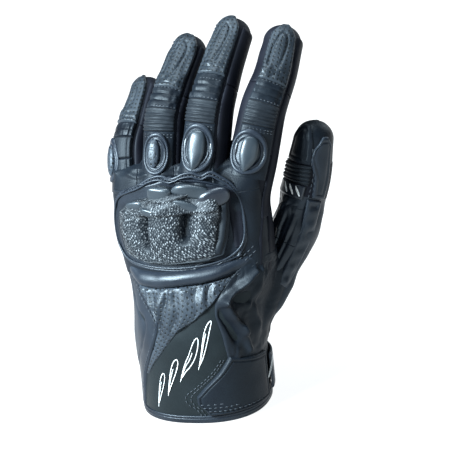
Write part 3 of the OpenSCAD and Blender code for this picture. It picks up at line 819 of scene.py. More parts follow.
panel("hand_back_leather", trunk, 60, 138, 8, 190, OUTER, "hand", thick=0.6, base=-0.9, radius=1.2, low=-1.4,
      relief=lambda s, a, d: 0.3 * grain(a / 13, s / 12, 11), rows=80, cols=100, replaces=["hand_back"])
panel("hand_palm_leather", trunk, 60, 118, 186, 374, PALM, "hand", thick=0.8, base=-0.8, radius=1.2, low=-1.4,
      relief=palm_relief, rows=70, cols=110, replaces=["hand_palm"])
ROLL_LOW = ((0, 91), (0.07, 88.5), (0.21, 85), (0.36, 82.3), (0.56, 80.8), (0.72, 82), (0.86, 86), (1, 92))
ROLL_HIGH = ((0, 94.5), (0.07, 94.8), (0.21, 93.2), (0.36, 91.4), (0.56, 90.2), (0.72, 91), (0.86, 94), (1, 99))
roll = panel("padded_roll", trunk, ROLL_LOW, ROLL_HIGH, 34, 170, PIPING, "hand", thick=4.6, radius=4.8,
             relief=lambda s, a, d: (0.3 * grain(a / 8, s / 9, 12) - 3.6 * ease(a, 122, 152)
                                     - 3.2 * (1 - ease(a, 44, 72))),
             rows=44, cols=110, replaces=["wrist_roll"], ends=1)


def between(table, shift, low=34, high=170):
    return [(s + shift, low + (high - low) * v) for v, s in table]


stitches("roll_stitches", trunk, [between(ROLL_LOW, -1.7), [(86.5, 66), (89.5, 54), (93.5, 43), (98, 31)],
                                  [(89.5, 67), (92.5, 55), (96.5, 44), (101, 33)]], THREAD, "hand", h=1.3)

GUARD_RIGHT = ((94, 80), (95.5, 71), (99, 65), (107, 61), (119, 58), (130.5, 58), (135.5, 63), (138, 69), (140, 78))
GUARD_LEFT = ((94, 102), (95.5, 113), (97, 123), (99.5, 130), (105, 137), (117, 139.5), (126.5, 136), (133, 126),
              (137, 106), (140, 98))
GUARD_LOW = ((0, 97.5), (0.15, 95.2), (0.5, 94.4), (0.8, 96), (1, 101))
GUARD_HIGH = ((0, 131), (0.12, 137), (0.3, 140), (0.55, 140), (0.68, 139), (0.78, 135), (0.9, 133), (1, 127))
FRAME_RIGHT = ((90, 70), (92, 60), (96, 50), (102, 44), (112, 41), (128, 42.5), (137, 50), (142, 60), (146, 76))
FRAME_LEFT = ((90, 98), (92.5, 120), (95.5, 139), (99, 152), (106, 162), (118, 161), (130, 153), (139, 140),
              (144, 124), (146, 106))
FRAME_LOOP = [(90.6, 95), (91.2, 78), (94, 60), (101, 46), (112, 41.5), (127, 42.5), (136.5, 50), (142.5, 60),
              (145.6, 67), (144.0, 74),
              (146.2, 80), (146.0, 86), (143.8, 92), (146.0, 98), (145.0, 106), (141.5, 116), (139.0, 128),
              (136.5, 140), (131, 150), (119, 159),
              (107, 160), (99.5, 151), (95.6, 139), (92.4, 118)]


def guard_height(s, a):
    left, right = along_edge(GUARD_LEFT, s), along_edge(GUARD_RIGHT, s)
    u, v = (left - a) / (left - right), (s - 95) / 44
    domes = 3.4 * bell(u, 0.23, 0.13) + 3.6 * bell(u, 0.515, 0.105) + 3.8 * bell(u, 0.77, 0.10) \
        + 2.2 * bell(u, 0.94, 0.06)
    domes = domes * ease(v, -0.05, 0.42) * (0.55 + 0.45 * (1 - ease(v, 0.78, 1.04)))
    step = 1.5 * ease(v, 0.65, 0.70) * (1 - ease(u, 0.82, 0.88)) * ease(u, 0.3, 0.36)
    vents = bell(u, 0.385, 0.024) * ease(v, 0.18, 0.34) * (1 - ease(v, 0.64, 0.68))
    vents = vents + bell(u, 0.645, 0.026) * ease(v, 0.24, 0.40) * (1 - ease(v, 0.64, 0.68))
    recess = bell(u, 0.66, 0.09) * bell(v, 0.87, 0.045) + 0.6 * bell(u, 0.45, 0.07) * bell(v, 0.83, 0.04)
    seam = bell(u, 0.865, 0.014) * ease(v, 0.1, 0.3) * (1 - ease(v, 0.85, 0.95))
    bump = np.exp(-(((s - 123) / 4.8) ** 2 + ((a - 73.5) / 8) ** 2) ** 2)
    return domes + step + 1.6 * bump - 6.6 * vents - 2.2 * recess - 1.4 * seam


def guard_grid():
    rows, cols = 150, 170
    u, v = spread(rows, ends=1)[:, None], spread(cols, ends=1)[None, :]
    lo, hi = along_edge(GUARD_LOW, v), along_edge(GUARD_HIGH, v)
    s = lo + (hi - lo) * u
    b0, b1 = along_edge(GUARD_RIGHT, s), along_edge(GUARD_LEFT, s)
    return s, b0 + (b1 - b0) * v


gs, ga = guard_grid()
g_shape, g_dist = rolled(trunk, gs, ga, 6.0)
g_rim = 0.5 * bell(g_dist, 1.6, 0.7)
g_top = 2.4 + 3.6 * g_shape + guard_height(gs, ga) * ease(g_dist, 0.5, 6) - 0.4 * bell(g_dist, 3.4, 0.8) + g_rim
g_share = (along_edge(GUARD_LEFT, gs) - ga) / (along_edge(GUARD_LEFT, gs) - along_edge(GUARD_RIGHT, gs))
g_vent = bell(g_share, 0.385, 0.026) * (gs > 103) * (gs < 125) + bell(g_share, 0.645, 0.028) * (gs > 106) * (gs < 125)
g_smooth = np.clip(g_vent + ease(g_share, 0.84, 0.88) + 1 - ease(g_dist, 1.8, 3.2) + 0.9 * ease(gs, 135, 137), 0, 1)
slab("knuckle_guard", trunk, gs, ga, g_top, np.full_like(g_top, 2.3), CARBON, "hand", ["guard_shell"], lift=g_smooth)
panel("guard_foam_core", trunk, 99, 131, 68, 124, FOAM, "hand", thick=1.6, base=0.6, radius=1.0, rows=24, cols=40,
      relief=lambda s, a, d: 0.05 * np.sin(s) * np.sin(a), replaces=["guard_foam"])


def hood(name, centre, half, tilt, power, rise, cover):
    """A smooth plate over the top of a dome, with a lip at its lower edge."""
    def outline(t):
        return (np.abs(np.cos(t)) ** power + np.abs(np.sin(t)) ** power) ** (-1 / power)

    share = np.concatenate([[0.0], np.sin(np.linspace(0.06, 1, 16) * np.pi / 2)])[:, None]
    turn = (np.arange(48) * 2 * np.pi / 48)[None, :]
    x, y = half[1] * outline(turn) * share * np.sin(turn), half[0] * outline(turn) * share * np.cos(turn)
    c, k = math.cos(math.radians(tilt)), math.sin(math.radians(tilt))
    per_mm = 1 / np.linalg.norm(trunk.at(centre[0], centre[1] + 0.5) - trunk.at(centre[0], centre[1] - 0.5))
    s, a = centre[0] + x * k + y * c, centre[1] + per_mm * (x * c - y * k)
    base = 5.6 + guard_height(np.full_like(s, centre[0]), np.full_like(s, centre[1])) * 0.8
    top = base + rise * (1 - share ** 7) + 0.35 * (1 - share ** 2) + 0.16 * y * (share > 0)
    return slab(name, trunk, s, a, top, np.full_like(top, 1.0) * 4.0, as_slot(cover, "hard_guard"), "hand", ring=True,
                lift=np.exp(-(1 - share) * 4) + 0 * turn)


hood("guard_hood_outer", (130.6, 112.5), (2.6, 5.0), -8, 2.8, 0.9, HARD)
hood("guard_hood_ring", (136.8, 96.5), (4.4, 5.4), 12, 3.6, 1.5, HARD)
hood("guard_lip_ring", (126.6, 101), (2.3, 5.6), 22, 2.4, 1.3, HARD)
hood("guard_hood_middle", (136.8, 82), (3.9, 8.0), 22, 3.0, 1.6, HARD)
hood("guard_lip_middle", (129.2, 85.5), (2.5, 9.4), 33, 2.4, 1.5, HARD)
hood("guard_hood_index", (132.0, 70.5), (5.6, 7.8), -8, 2.3, 2.0, DARK_HARD)


def frame_relief(s, a, d):
    return 0.8 * bell(d, 2.0, 1.4) - 0.5 * bell(d, 3.9, 0.5) + 0.2 * grain(a / 8, s / 7, 13)


panel("guard_surround", trunk, ((0, 95), (0.2, 91), (0.5, 90.2), (0.8, 92.5), (1, 99)),
      ((0, 134), (0.2, 142), (0.5, 145.4), (0.8, 143), (1, 134)), FRAME_RIGHT, FRAME_LEFT, PIPING, "hand",
      thick=1.9, radius=2.0, relief=frame_relief, rows=100, cols=110, replaces=["guard_frame"])
panel("guard_side_recess", trunk, 100, 137, ((100, 49), (108, 45), (127, 45.5), (137, 53)),
      ((100, 56), (118, 58), (137, 61)), as_slot(SIDES, "piping_leather"), "hand", thick=2.5, radius=1.4, rows=60,
      cols=24, relief=lambda s, a, d: -0.5 * ease(d, 1.5, 4))
cord("guard_piping", trunk, FRAME_LOOP, PIPING, "hand", r=0.95, h=0.9, closed=True)


def scaled_loop(loop, k, centre=(118, 99)):
    return [(centre[0] + (s - centre[0]) * k, centre[1] + (a - centre[1]) * k) for s, a in loop]


cord("guard_inner_piping", trunk, scaled_loop(FRAME_LOOP, 0.935), PIPING, "hand", r=0.7, h=2.5, closed=True)
outer_loop = scaled_loop(FRAME_LOOP, 1.06)
stitches("guard_stitches", trunk, [outer_loop[:7], scaled_loop(FRAME_LOOP, 1.105)[:7]], THREAD, "hand", h=0.6)
stitches("guard_inner_stitches", trunk, [scaled_loop(FRAME_LOOP, 0.965) + [scaled_loop(FRAME_LOOP, 0.965)[0]]],
         THREAD, "hand", h=2.2, length=1.5, gap=0.7, r=0.25)


class Knuckles:
    """The leather over the knuckles: s is the height, a is the place across in millimetres."""

    def __init__(self):
        self.fingers = []
        for f in FINGERS:
            limb = LIMBS[f]
            s = np.linspace(-16, 45, 60)
            p = upright(limb.centre(s))
            self.fingers.append((p[:, 2], p[:, 0], p[:, 1], limb.value(s, limb.half_w), limb.value(s, limb.half_t)))

    def depth(self, x, z):
        w, t = trunk.value(z, trunk.half_w), trunk.value(z, trunk.half_t)
        across = np.clip(np.abs(x - trunk.value(z, trunk.mid_x)) / w, 0, 1)
        body = t * (1 - across ** (2 / 0.86)) ** 0.43 - trunk.value(z, trunk.mid_y)
        layers = [np.where(z < 150, body - 8 * ease(z, 132, 150), -40)]
        for high, cx, cy, cw, ct in self.fingers:
            mx, my = np.interp(z, high, cx), np.interp(z, high, cy)
            mw, mt = np.interp(z, high, cw) + 0.3, np.interp(z, high, ct)
            side = np.clip(np.abs((x - mx) / mw), 0, 1.0)
            layers.append(mt * np.sqrt(1 - side ** 2.2) * 1.0 - my - 6 * np.clip(np.abs((x - mx) / mw) - 1, 0, 9))
        k = 2.2
        stack = np.stack(np.broadcast_arrays(*layers))
        top = stack.max(0)
        return top + k * np.log(np.exp((stack - top) / k).sum(0)) - 0.35 * k

    def at(self, s, a, h=0.0):
        s, a, h = np.broadcast_arrays(np.asarray(s, float), np.asarray(a, float), np.asarray(h, float))
        return lean(np.stack([a, -self.depth(a, s) - h, s], -1))


knuckles = Knuckles()


def knuckle_skin(name, s0, s1, x0, x1, mover, rows, cols):
    """Leather from height s0 to s1, between shares of the hand's width, dipping under the fingers' own leather."""
    s = (s0 + (s1 - s0) * np.linspace(0, 1, rows))[:, None] + np.zeros((1, cols))
    reach, mid = 0.992 * trunk.value(s, trunk.half_w), trunk.value(s, trunk.mid_x)
    low = mid - reach if x0 is None else np.full_like(mid, x0)
    high = mid + reach if x1 is None else np.full_like(mid, x1)
    turn_low, turn_high = (np.arcsin(np.clip((edge - mid) / reach, -1, 1)) for edge in (low, high))
    x = mid + reach * np.sin(turn_low + (turn_high - turn_low) * np.linspace(0, 1, cols)[None, :])
    crest = 147.5 - 2.2 * np.cos((x + 3.5) / 24.2 * 2 * np.pi)
    top = 0.8 + 0.6 * ease(s, 110, 125) - 5.6 * ease(s, crest - 1, crest + 6)
    edge_fold = bell(s, 146.5 + 1.5 * np.cos((x + 3.5) / 24.2 * 2 * np.pi), 1.3)
    top = top + 0.35 * grain(x / 9, s / 6, 21) + 0.9 * edge_fold
    slab(name, knuckles, s, x, top, top - 1.4, OUTER, mover)


knuckle_skin("knuckle_leather", 88, 132, None, None, "hand", 60, 131)
for f, x0, x1 in (("little", None, -15.6), ("ring", -15.6, 8.6), ("middle", 8.6, 32.8), ("index", 32.8, None)):
    knuckle_skin(f"{f}_knuckle_leather", 131.9, 158, x0, x1, f"{f}_knuckle", 44, 44)


def web_plate():
    """The leather between the finger roots: a filled ring across the top of the trunk."""
    top, rows, around, thick = 111.0, 12, 72, 1.8
    turn = (np.arange(around) * 360 / around)[None, :]
    share = np.linspace(0, 1, rows)[:, None]
    middle = trunk.at(top, 90.0) * 0.5 + trunk.at(top, 270.0) * 0.5
    rim = trunk.at(np.full((1, around), top), turn, -1.0)
    points = (middle + (rim - middle) * share[..., None]).reshape(-1, 3)
    n = len(points)
    last = list(range(n - around, n))
    faces = sheet_faces(rows, around, True)
    faces += [tuple(q + n for q in f[::-1]) for f in faces]
    faces += [(p, q, q + n, p + n) for p, q in zip(last, last[1:] + last[:1])]
    both = np.concatenate([points + turned(np.array((0.0, 0.0, 1.0))) * thick, points])
    finish_mesh("finger_web_leather", both, faces, HAND_SIDES, "hand", ["finger_webs"], np.zeros(len(both)), both[:, :2],
                weld=0.002)


web_plate()
PALM_TOP = np.linspace(0, 1, 16)[:, None]
crown_a = np.linspace(196, 352, 110)[None, :] + 0 * PALM_TOP
finger_waves = 0.75 + 0.25 * np.abs(np.cos(np.radians((crown_a - 270) * 2.1 + 90)))
crown_s = 109 + 11 * np.sin(PALM_TOP * np.pi / 2) * finger_waves + 0 * crown_a
crown_h = 0.3 - 7.5 * (1 - np.cos(PALM_TOP * np.pi / 2)) + 0 * crown_a
slab("palm_crown_leather", trunk, crown_s, crown_a, crown_h, crown_h - 1.2, PALM, "hand")
panel("index_side_strip", trunk, 84, 134, ((84, 24), (96, 23), (107, 20), (120, 10), (134, -2)),
      ((84, 31), (96, 31), (107, 28), (120, 19), (134, 8)), HAND_SIDES, "hand", thick=1.6, radius=2.0, rows=70,
      cols=24)
panel("thumb_side_strip", trunk, 80, 136, ((84, -4), (100, -8), (118, -18), (130, -22)),
      ((84, 14), (100, 12), (118, 1), (130, -8)), HAND_SIDES, "hand", thick=1.2, radius=2.0, rows=60, cols=30,
      relief=lambda s, a, d: 0.4 * grain(a / 8, s / 9, 14))
edge = panel("outer_edge_cushion", trunk, 64, 110, 168, 211, as_slot(OUTER, "piping_leather"), "hand", thick=2.0,
             radius=2.6,
             relief=lambda s, a, d: -0.9 * bell((s - 64) % 11.5, 5.75, 0.7) * ease(d, 1, 4), rows=80, cols=40,
             replaces=["outer_edge_pad"])
panel("palm_heel_patch", trunk, 60.5, 98, 215, 282, PALM, "hand", thick=1.4, radius=1.5, rows=60, cols=60,
      relief=lambda s, a, d: -0.4 * bell(d, 3.0, 0.5) + 0.2 * grain(a / 10, s / 9, 15), replaces=["palm_patch"])
panel("palm_grip_bar", trunk, 100, 110.3, 215, 330, PALM, "hand", thick=1.6, radius=1.6, rows=30, cols=150,
      relief=lambda s, a, d: 0.5 * np.sin(a * 1.4) ** 2 * ease(d, 0.5, 2), replaces=["palm_grip"])
stitches("palm_stitches", trunk, [[(63, 217), (63, 250), (63, 280)], [(95.5, 217), (95.5, 250), (95.5, 280)],
                                  [(65, 218), (80, 218), (94, 218)], [(65, 279.5), (80, 279.5), (94, 279.5)]],
         as_slot(THREAD, "palm_leather"), "hand", h=1.25)

# A generic mark: four slanted outlined leaves.
for k, (low_s, low_a, high_s, high_a, wide) in enumerate((
        (11, 121, 32, 112, 2.6), (20, 108, 42, 98, 2.8), (30, 95, 52, 82, 2.8), (38, 82, 60, 70, 2.4))):
    t = np.linspace(0, 2 * np.pi, 24, endpoint=False)
    along, aside = 0.5 + 0.5 * np.cos(t), wide * np.sin(t) * (0.6 + 0.4 * np.cos(t))
    leaf = [(low_s + (high_s - low_s) * p, low_a + (high_a - low_a) * p + q * 1.35) for p, q in zip(along, aside)]
    mark(f"wrist_mark_{k + 1}", trunk, leaf, WHITE, "wrist", 0.42)
    vein = [(low_s + (high_s - low_s) * p, low_a + (high_a - low_a) * p + 0.9 * np.sin(3 * p))
            for p in np.linspace(-0.12, 0.72, 6)]
    cord(f"wrist_vein_{k + 1}", trunk, vein, WHITE, "wrist", r=0.26, h=0.42, flat=0.5, sides=6)

strap_leaf = [(18 + 9 * p, 6 - 16 * p + 2.0 * q) for p, q in zip(0.5 + 0.5 * np.cos(t), np.sin(t))]
mark("strap_mark", trunk, strap_leaf, as_slot(WHITE, "piping_leather"), "cuff", 3.2)

# ---- Fingers

def tube(name, limb, s0, s1, cover, mover, replaces=(), relief=None, rows=28, around=72, wall=1.2):
    """A sleeve from s0 to s1, with a domed end where s1 is past the limb's length."""
    s = np.linspace(s0, min(s1, limb.length), rows)
    if s1 > limb.length:
        s = np.concatenate([s[:-1], limb.length + limb.dome * np.sin(np.linspace(0, np.pi / 2, 16))])
    s = np.repeat(s[:, None], around, 1)
    a = np.repeat(np.arange(around)[None, :] * 360 / around, len(s), 0)
    top = np.zeros_like(s) if relief is None else relief(s, a)
    return slab(name, limb, s, a, top, np.full_like(top, -wall), cover, mover, replaces, True)


def roll_at(x, centre, width):
    return np.sqrt(np.clip(1 - ((x - centre) / width) ** 2, 0, 1))


def shield(t):
    """The outline of a hard insert: blunt at its top, pointed towards the knuckle."""
    power = np.where(np.cos(t) > 0, 3.2, 1.35)
    return (np.abs(np.cos(t)) ** power + np.abs(np.sin(t)) ** power) ** (-1 / power)


def sleeve_ribs(run, count, length, height):
    """count ribs over a length, at places run past its start."""
    return height * np.abs(np.sin(np.pi * count * run / length)) ** 0.7


FACE = {"index": (50, 136), "middle": (58, 150), "ring": (38, 138), "little": (44, 160)}  # the back leather's edges
PADS = {  # the pad's middle (s, a) and half length and half width, then how far its insert is from it, and its halves
    "index": ((26.0, 105), (13.2, 10.4), (-0.8, -4), (10.6, 4.6)),
    "middle": ((27.0, 98), (14.4, 10.2), (-1.0, -1), (12.0, 4.7)),
    "ring": ((27, 86), (12.6, 8.2), (0.5, 6), (8.6, 4.0)),
    "little": ((29, 122), (12.0, 7.4), (1.0, 4), (9.0, 4.2)),
}
RIBBED = 9.2  # how far the ribbed stretch starts below the middle joint
SIDE_EDGE, PALM_EDGES = -14, (212, 328)


def build_finger(f):
    """Places along a finger count from its knuckle: first is the middle joint's, both is the tip joint's."""
    limb = LIMBS[f]
    little = f == "little"
    seed = len(f)
    first = np.linalg.norm(JOINT[f"{f}_middle_joint"] - JOINT[f"{f}_knuckle"])
    second = np.linalg.norm(JOINT[f"{f}_tip_joint"] - JOINT[f"{f}_middle_joint"])
    both, end = first + second, limb.length + limb.dome
    a0, a1 = FACE[f]
    mid_a, half = 0.5 * (a0 + a1), 0.5 * (a1 - a0) - 2
    split1, split2 = 0.52 * first, first + 0.5 * second

    def sheet(part, s0, s1, a0, a1, cover, mover, **look):
        panel(f"{f}_{part}", limb, s0, s1, a0, a1, cover, f"{f}_{mover}", **look)

    def sewn(part, rows, mover, cover=THREAD, **look):
        stitches(f"{f}_{part}_stitches", limb, rows, cover, f"{f}_{mover}", length=1.3, **look)

    def patch(part, centre, half, outline, height, cover, **look):
        disc(f"{f}_{part}", limb, centre, half, outline, height, cover, f"{f}_proximal", **look)

    def across(s, inset):
        return [(s, a0 + inset), (s, mid_a), (s, a1 - inset)]

    def wrinkle(s, a):
        return 0.25 * grain(a / 30, s / 7, seed) * (1 - ease(s, limb.length - 2, limb.length + 4))

    def channels(a):
        """Lengthwise ribs, which only the little finger has."""
        return np.abs(np.sin(np.pi * (a - 48) / 11)) ** 0.6 * (1 - ease(a, 88, 96)) if little else 0 * a

    def back(s, a, d):
        return 0.25 * grain(a / 16, s / 8, 30 + seed) * ease(d, 0, 2) + channels(a) * ease(d, 0, 1)

    def accordion(s, a, d):
        ribs = sleeve_ribs(s - first + RIBBED, 6, 10.8, 0.5 if little else 1.05)
        ribs = ribs * (0.7 + 0.3 * grain(a / 14, s / 2, 3))
        return channels(a) + (ribs * ease(a, 88, 96) if little else ribs)

    def tile(s, a, d):
        grooves = bell(s, first + 5.4, 0.6) + bell(s, first + 9.2, 0.6)
        return back(s, a, d) + 0.35 * grain(a / 9, s / 2.5, 80) - (0.2 if little else 0.7) * grooves

    tip_low, top_s = both - 9.6, limb.length + 0.82 * limb.dome
    u_seam = [(tip_low + 10, mid_a + 0.6 * half), (top_s - 17, mid_a + 0.5 * half), (top_s - 10, mid_a + 0.3 * half),
              (top_s - 6.5, mid_a), (top_s - 10, mid_a - 0.34 * half), (top_s - 17, mid_a - 0.36 * half),
              (tip_low + 9, mid_a - 0.1 * half)]

    def tip_relief(s, a, d):
        folds = 0.9 * bell(s, u_seam[0][0] - 5, 4.5) * np.abs(grain(a / 22, s / 3.2, 70 + seed)) * ease(d, 0.5, 2)
        seam = lines(s, a, u_seam, 0.75, mm_per_degree=0.22)
        return 0.45 * grain(a / 20, s / 7, 40 + seed) - 0.75 * seam + 0.3 * bell(d, 1.6, 1.0) + folds

    for part, low, high, mover, covered in (
            ("root", -17, split1, "knuckle", ("gusset", "base")),
            ("middle", split1, split2, "middle_joint", ("stretch", "mid")),
            ("end", split2, end, "tip_joint", ("crease", "tip"))):
        tube(f"{f}_{part}_tube", limb, low, high, SIDES, f"{f}_{mover}", [f"{f}_{node}" for node in covered], wrinkle)
    sheet("back_leather", 12, first - 9.0, a0, a1, OUTER, "proximal", thick=1.1, radius=1.5, relief=back, rows=50,
          cols=44, sides=(0, 1, 1, 1))
    sheet("accordion", first - RIBBED, first + 1.6, a0 + 2, a1 - 2, STRETCH, "middle_joint", thick=0.9, radius=1.2,
          rows=96, cols=40, relief=accordion)
    sheet("tile", first + 1.4, both - 9.2, a0 + 2, a1 - 2, OUTER, "middle", radius=1.4, rows=44, cols=40, relief=tile)
    taper = ((tip_low, 1.0), (limb.length - 4, 1.0), (limb.length + 2, 0.9), (limb.length + 5, 0.72), (top_s, 0.42))
    sheet("tip_leather", tip_low, top_s, *([(s, mid_a + side * half * k) for s, k in taper] for side in (-1, 1)),
          TIP_LEATHER, "tip_joint", thick=1.15, radius=1.5, rows=90, cols=60, relief=tip_relief)
    sheet("side_strip_a", -12 if f == "index" else 4, split2, SIDE_EDGE, a0 - 6, SIDES, "middle_joint", thick=1.0,
          radius=2.2, rows=60, cols=20)
    sheet("side_strip_b", split2, limb.length + 0.3 * limb.dome, SIDE_EDGE, a0 - 6, SIDES, "tip_joint", thick=1.0,
          radius=2.2, rows=40, cols=20, sides=(0, 1, 1, 1))
    for part, low, high, mover in (("lower", 2, first - 6, "proximal"),
                                   ("mid", first - 5.5, both - 4, "middle_joint"),
                                   ("end", both - 3.6, limb.length + 0.8 * limb.dome, "tip_joint")):
        sheet(f"palm_{part}", low, high, *PALM_EDGES, PALM, mover, thick=0.9, radius=1.4, rows=44, cols=40,
              relief=lambda s, a, d: 0.25 * grain(a / 18, s / 6, 50) * ease(d, 0, 2))
    sewn("tile", [across(first + 2.6, 10), across(first + 12.8, 12)], "middle", h=1.15, gap=0.6, r=0.28)
    sewn("rib", [across(first - 11.0 - k, 10) for k in (0, 1.5)], "proximal", h=1.05, gap=0.6, r=0.26)
    edge_run = np.linspace(both + 2, limb.length + 3, 6)
    sewn("tip", [[(s, mid_a + side * half) for s in edge_run] for side in (0.86, -0.86)], "distal",
         as_slot(THREAD, "outer_leather"), h=1.1, gap=0.8, r=0.22)

    (pad_s, pad_a), pad_half, (shift_s, shift_a), insert_half = PADS[f]
    insert = (pad_s + shift_s, pad_a + shift_a)
    patch("pad_surround", (pad_s, pad_a), pad_half, lambda t: 1 + 0.05 * np.cos(t),
          lambda share, t: 0.5 + 1.3 * roll_at(share, 0.89, 0.11) + 0.7 * roll_at(share, 0.70, 0.08), PIPING,
          base=0.7, rings=40, sides=72, replaces=[f"{f}_pad_frame"])
    if f in ("index", "middle"):
        patch("insert", insert, insert_half, shield,
              lambda share, t: 2.3 * np.sqrt(np.clip(1 - share ** 3, 0, 1)) + 0.5,
              HARD, base=1.3, rings=30, sides=72, replaces=[f"{f}_pad"])
        # Painted shade: raised dark plastic discs stand in for the shade inside the thin slots beside the insert.
        for k, off in (("a", -32), ("b", 32)):
            patch(f"slot_{k}", (insert[0] + 1.8, insert[1] + off), (5.6, 1.0), lambda t: 1 + 0 * t,
                  lambda share, t: 0.8 - 0.6 * share ** 2, DARK_HARD, base=1.3, rings=8, sides=32)
    else:
        patch("pad_cushion", insert, insert_half, lambda t: 1 + 0.04 * np.cos(t),
              lambda share, t: 2.2 * np.sqrt(np.clip(1 - share ** 2.4, 0, 1)) + 0.4,
              as_slot(PERFORATED, "piping_leather"),
              base=1.2, rings=26, sides=60, replaces=[f"{f}_pad"])


for f in FINGERS:
    build_finger(f)

# ---- Thumb

thumb = LIMBS["thumb"]
tj = np.linalg.norm(JOINT["thumb_tip_joint"] - JOINT["thumb_base_joint"])


def thumb_wrinkle(s, a):
    """Folds at the thumb's root, lengthwise seams, and crumpled leather below the badge."""
    deep = 2.2 * (1 - ease(s, 12, 26))
    ridges = 0.9 * bell(a, 152, 4) - 0.6 * bell(a, 145, 3) + 0.9 * bell(a, 126, 4) - 0.6 * bell(a, 119, 3) \
        + 0.6 * bell(a, 170, 4)
    ridges = ridges * (1 - ease(s, tj - 26, tj - 16)) * ease(s, -45, -25)
    crumple = 1.5 * np.abs(grain(a / 11, s / 4.2, 62)) * bell(s, tj - 17, 5.5) * bell(a, 165, 38)
    return (0.3 + deep) * grain(a / 34 + s / 60, s / 11, 60) + crumple + ridges


for part, low, high, cover, mover, relief, rows, around in (
        ("mound", -60, -9, SMOOTH, "hand", thumb_wrinkle, 70, 144),
        ("gusset", -9, 14, as_slot(SMOOTH, "finger_stretch"), "thumb_base_joint", thumb_wrinkle, 44, 144),
        ("sleeve", 14, tj - 9, SMOOTH, "thumb_proximal", thumb_wrinkle, 48, 144),
        ("crease", tj - 9, tj + 11, SIDES, "thumb_tip_joint", None, 30, 80),
        ("tip", tj + 11, thumb.length + thumb.dome, OUTER, "thumb_distal", thumb_wrinkle, 16, 80)):
    tube(f"thumb_{part}_leather", thumb, low, high, cover, mover, [f"thumb_{part}"], relief, rows, around)
panel("thumb_accordion", thumb, tj - 2, tj + 10.5, 112, 208, STRETCH, "thumb_tip_joint", thick=0.8, radius=1.4,
      rows=90, cols=44, relief=lambda s, a, d: sleeve_ribs(s - tj + 2 + 0.02 * (a - 160), 5, 12.5, 1.1))
panel("thumb_badge_patch", thumb, tj - 11.5, tj - 2.4, 118, 206, DARK_HARD, "thumb_proximal", thick=1.3, radius=1.2,
      rows=30, cols=50, replaces=["thumb_badge"])
for k in range(3):
    a = 134 + 18 * k
    slant = [(tj - 9.4, a - 7), (tj - 7.4, a - 3), (tj - 5, a + 5), (tj - 4.2, a + 8), (tj - 6.4, a + 4),
             (tj - 8.4, a - 3)]
    mark(f"thumb_mark_{k + 1}", thumb, slant, as_slot(WHITE, "hard_insert"), "thumb_proximal", 1.35)
thumb_end = thumb.length
tip_taper = [(tj + 11, 1.0), (thumb_end, 0.95), (thumb_end + 6, 0.72), (thumb_end + 9, 0.45)]
panel("thumb_back_leather", thumb, tj + 11, thumb_end + 9,
      *([(s, 158 + side * k) for s, k in tip_taper] for side in (-44, 44)),
      OUTER, "thumb_distal", thick=1.1, radius=1.6, relief=lambda s, a, d: -0.5 * bell(d, 3.4, 0.6))
panel("thumb_side_panel", thumb, tj - 9,
      ((0, thumb_end - 1), (0.3, thumb_end + 4), (0.6, thumb_end + 4), (1, thumb_end - 4)),
      60, ((tj - 9, 96), (tj + 4, 104), (tj + 14, 118), (thumb_end, 112)), SMOOTH, "thumb_tip_joint", thick=1.3,
      radius=1.8, rows=60, cols=30, relief=lambda s, a, d: 0.35 * grain(a / 12, s / 8, 66) - 0.5 * bell(d, 3.0, 0.6))
panel("thumb_long_panel", thumb, -34, tj - 10, ((-34, 60), (0, 62), (tj - 10, 66)),
      ((-34, 96), (0, 100), (tj - 10, 106)),
      SMOOTH, "thumb_base_joint", thick=1.3, radius=2.0, rows=90, cols=36,
      relief=lambda s, a, d: (1.0 * grain(a / 13, s / 9, 67) + 0.5 * np.sin(s * 0.7 + a * 0.05)) * ease(d, 0, 4))
stitches("thumb_stitches", thumb, [[(tj + 12, 114), (tj + 18, 115), (thumb_end, 118)],
                                   [(tj - 8, 106), (tj, 106), (tj + 9, 107)]],
         as_slot(THREAD, "outer_leather"), "thumb_distal", h=1.2)

# ---- Floor, light and camera

floor_mesh = bpy.data.meshes.new("floor")
floor_mesh.from_pydata([(-9, -9, 0), (9, -9, 0), (9, 9, 0), (-9, 9, 0)], [], [(0, 1, 2, 3)])
floor = bpy.data.objects.new("floor", floor_mesh)
bpy.context.collection.objects.link(floor)
pale = Nodes("pale_floor")
speck = pale.pattern("TexNoise", pale.where, Scale=600.0), 0
near = pale.ramp(speck, (0.3, (0.925, 0.945, 0.955)), (0.7, (0.94, 0.96, 0.97)))
distance = pale.new("VectorMath", operation="LENGTH")
pale.link(pale.where, distance, 0)
far = pale.ramp((distance, 1), (0.3, 0), (0.9, 1))
pale.feeds(Emission_Color=pale.mix(far, near, (1.0, 1.0, 1.0)))
pale.sets(Base_Color=(0.14, 0.14, 0.14, 1), Emission_Strength=1.0, Roughness=1.0, Specular_IOR_Level=0.0)
floor.data.materials.append(pale.mat)

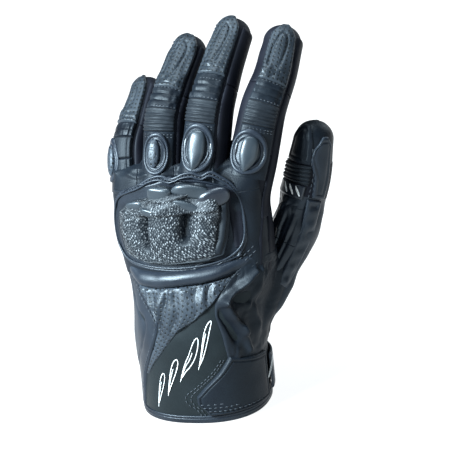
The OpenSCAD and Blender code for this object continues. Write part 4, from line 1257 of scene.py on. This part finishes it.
AZ, EL, ROLL = math.radians(22), math.radians(24), math.radians(10)
right = np.array((math.cos(AZ), math.sin(AZ), 0.0))
up = np.array((-math.sin(EL) * math.sin(AZ), math.sin(EL) * math.cos(AZ), math.cos(EL)))
back = np.array((math.sin(AZ) * math.cos(EL), -math.cos(AZ) * math.cos(EL), math.sin(EL)))
DISTANCE = 1350.0
target = np.array((13.7, 42.7, 95.4))
image_right = right * math.cos(ROLL) - up * math.sin(ROLL)
image_up = right * math.sin(ROLL) + up * math.cos(ROLL)
camera_data = bpy.data.cameras.new("camera")
camera_data.sensor_width = 36.0
camera_data.lens = 36.0 * DISTANCE / (450 * 0.6)
camera_data.clip_start, camera_data.clip_end = 0.05, 50.0
camera = bpy.data.objects.new("camera", camera_data)
bpy.context.collection.objects.link(camera)
bpy.context.scene.camera = camera
place = np.eye(4)
place[:3, 0], place[:3, 1], place[:3, 2] = image_right, image_up, back
place[:3, 3] = (target + back * DISTANCE) * MM
camera.matrix_world = Matrix(place.tolist())


def lamp(name, spot, aim, size, power, colour):
    data = bpy.data.lights.new(name, "AREA")
    data.shape, data.size, data.size_y = "RECTANGLE", size[0], size[1]
    data.energy, data.color = power, colour
    obj = bpy.data.objects.new(name, data)
    bpy.context.collection.objects.link(obj)
    obj.location = spot
    obj.rotation_euler = (Vector(aim) - Vector(spot)).to_track_quat("-Z", "Y").to_euler()


middle = (0.02, 0.0, 0.11)
lamp("key", (-0.75, -0.75, 0.85), middle, (0.5, 0.5), 92, (0.87, 0.95, 1.0))
lamp("top", (-0.1, 0.1, 1.3), middle, (0.7, 0.4), 14, (0.88, 0.95, 1.0))
lamp("fill", (0.9, -1.0, 0.35), middle, (0.7, 0.7), 2.5, (0.90, 0.95, 1.0))
lamp("behind", (0.7, 1.1, 0.7), middle, (0.8, 0.8), 7, (0.86, 0.94, 1.0))
world = bpy.data.worlds.new("studio")
bpy.context.scene.world = world
world.use_nodes = True
tree = world.node_tree
tree.nodes.clear()
out = tree.nodes.new("ShaderNodeOutputWorld")
seen, lit = tree.nodes.new("ShaderNodeBackground"), tree.nodes.new("ShaderNodeBackground")
seen.inputs[0].default_value, seen.inputs[1].default_value = (1, 1, 1, 1), 1.0
lit.inputs[0].default_value, lit.inputs[1].default_value = (0.78, 0.90, 1.0, 1), 0.17
path, share = tree.nodes.new("ShaderNodeLightPath"), tree.nodes.new("ShaderNodeMixShader")
tree.links.new(path.outputs["Is Camera Ray"], share.inputs[0])
tree.links.new(lit.outputs[0], share.inputs[1])
tree.links.new(seen.outputs[0], share.inputs[2])
tree.links.new(share.outputs[0], out.inputs[0])
bpy.context.scene.view_settings.view_transform = "Standard"
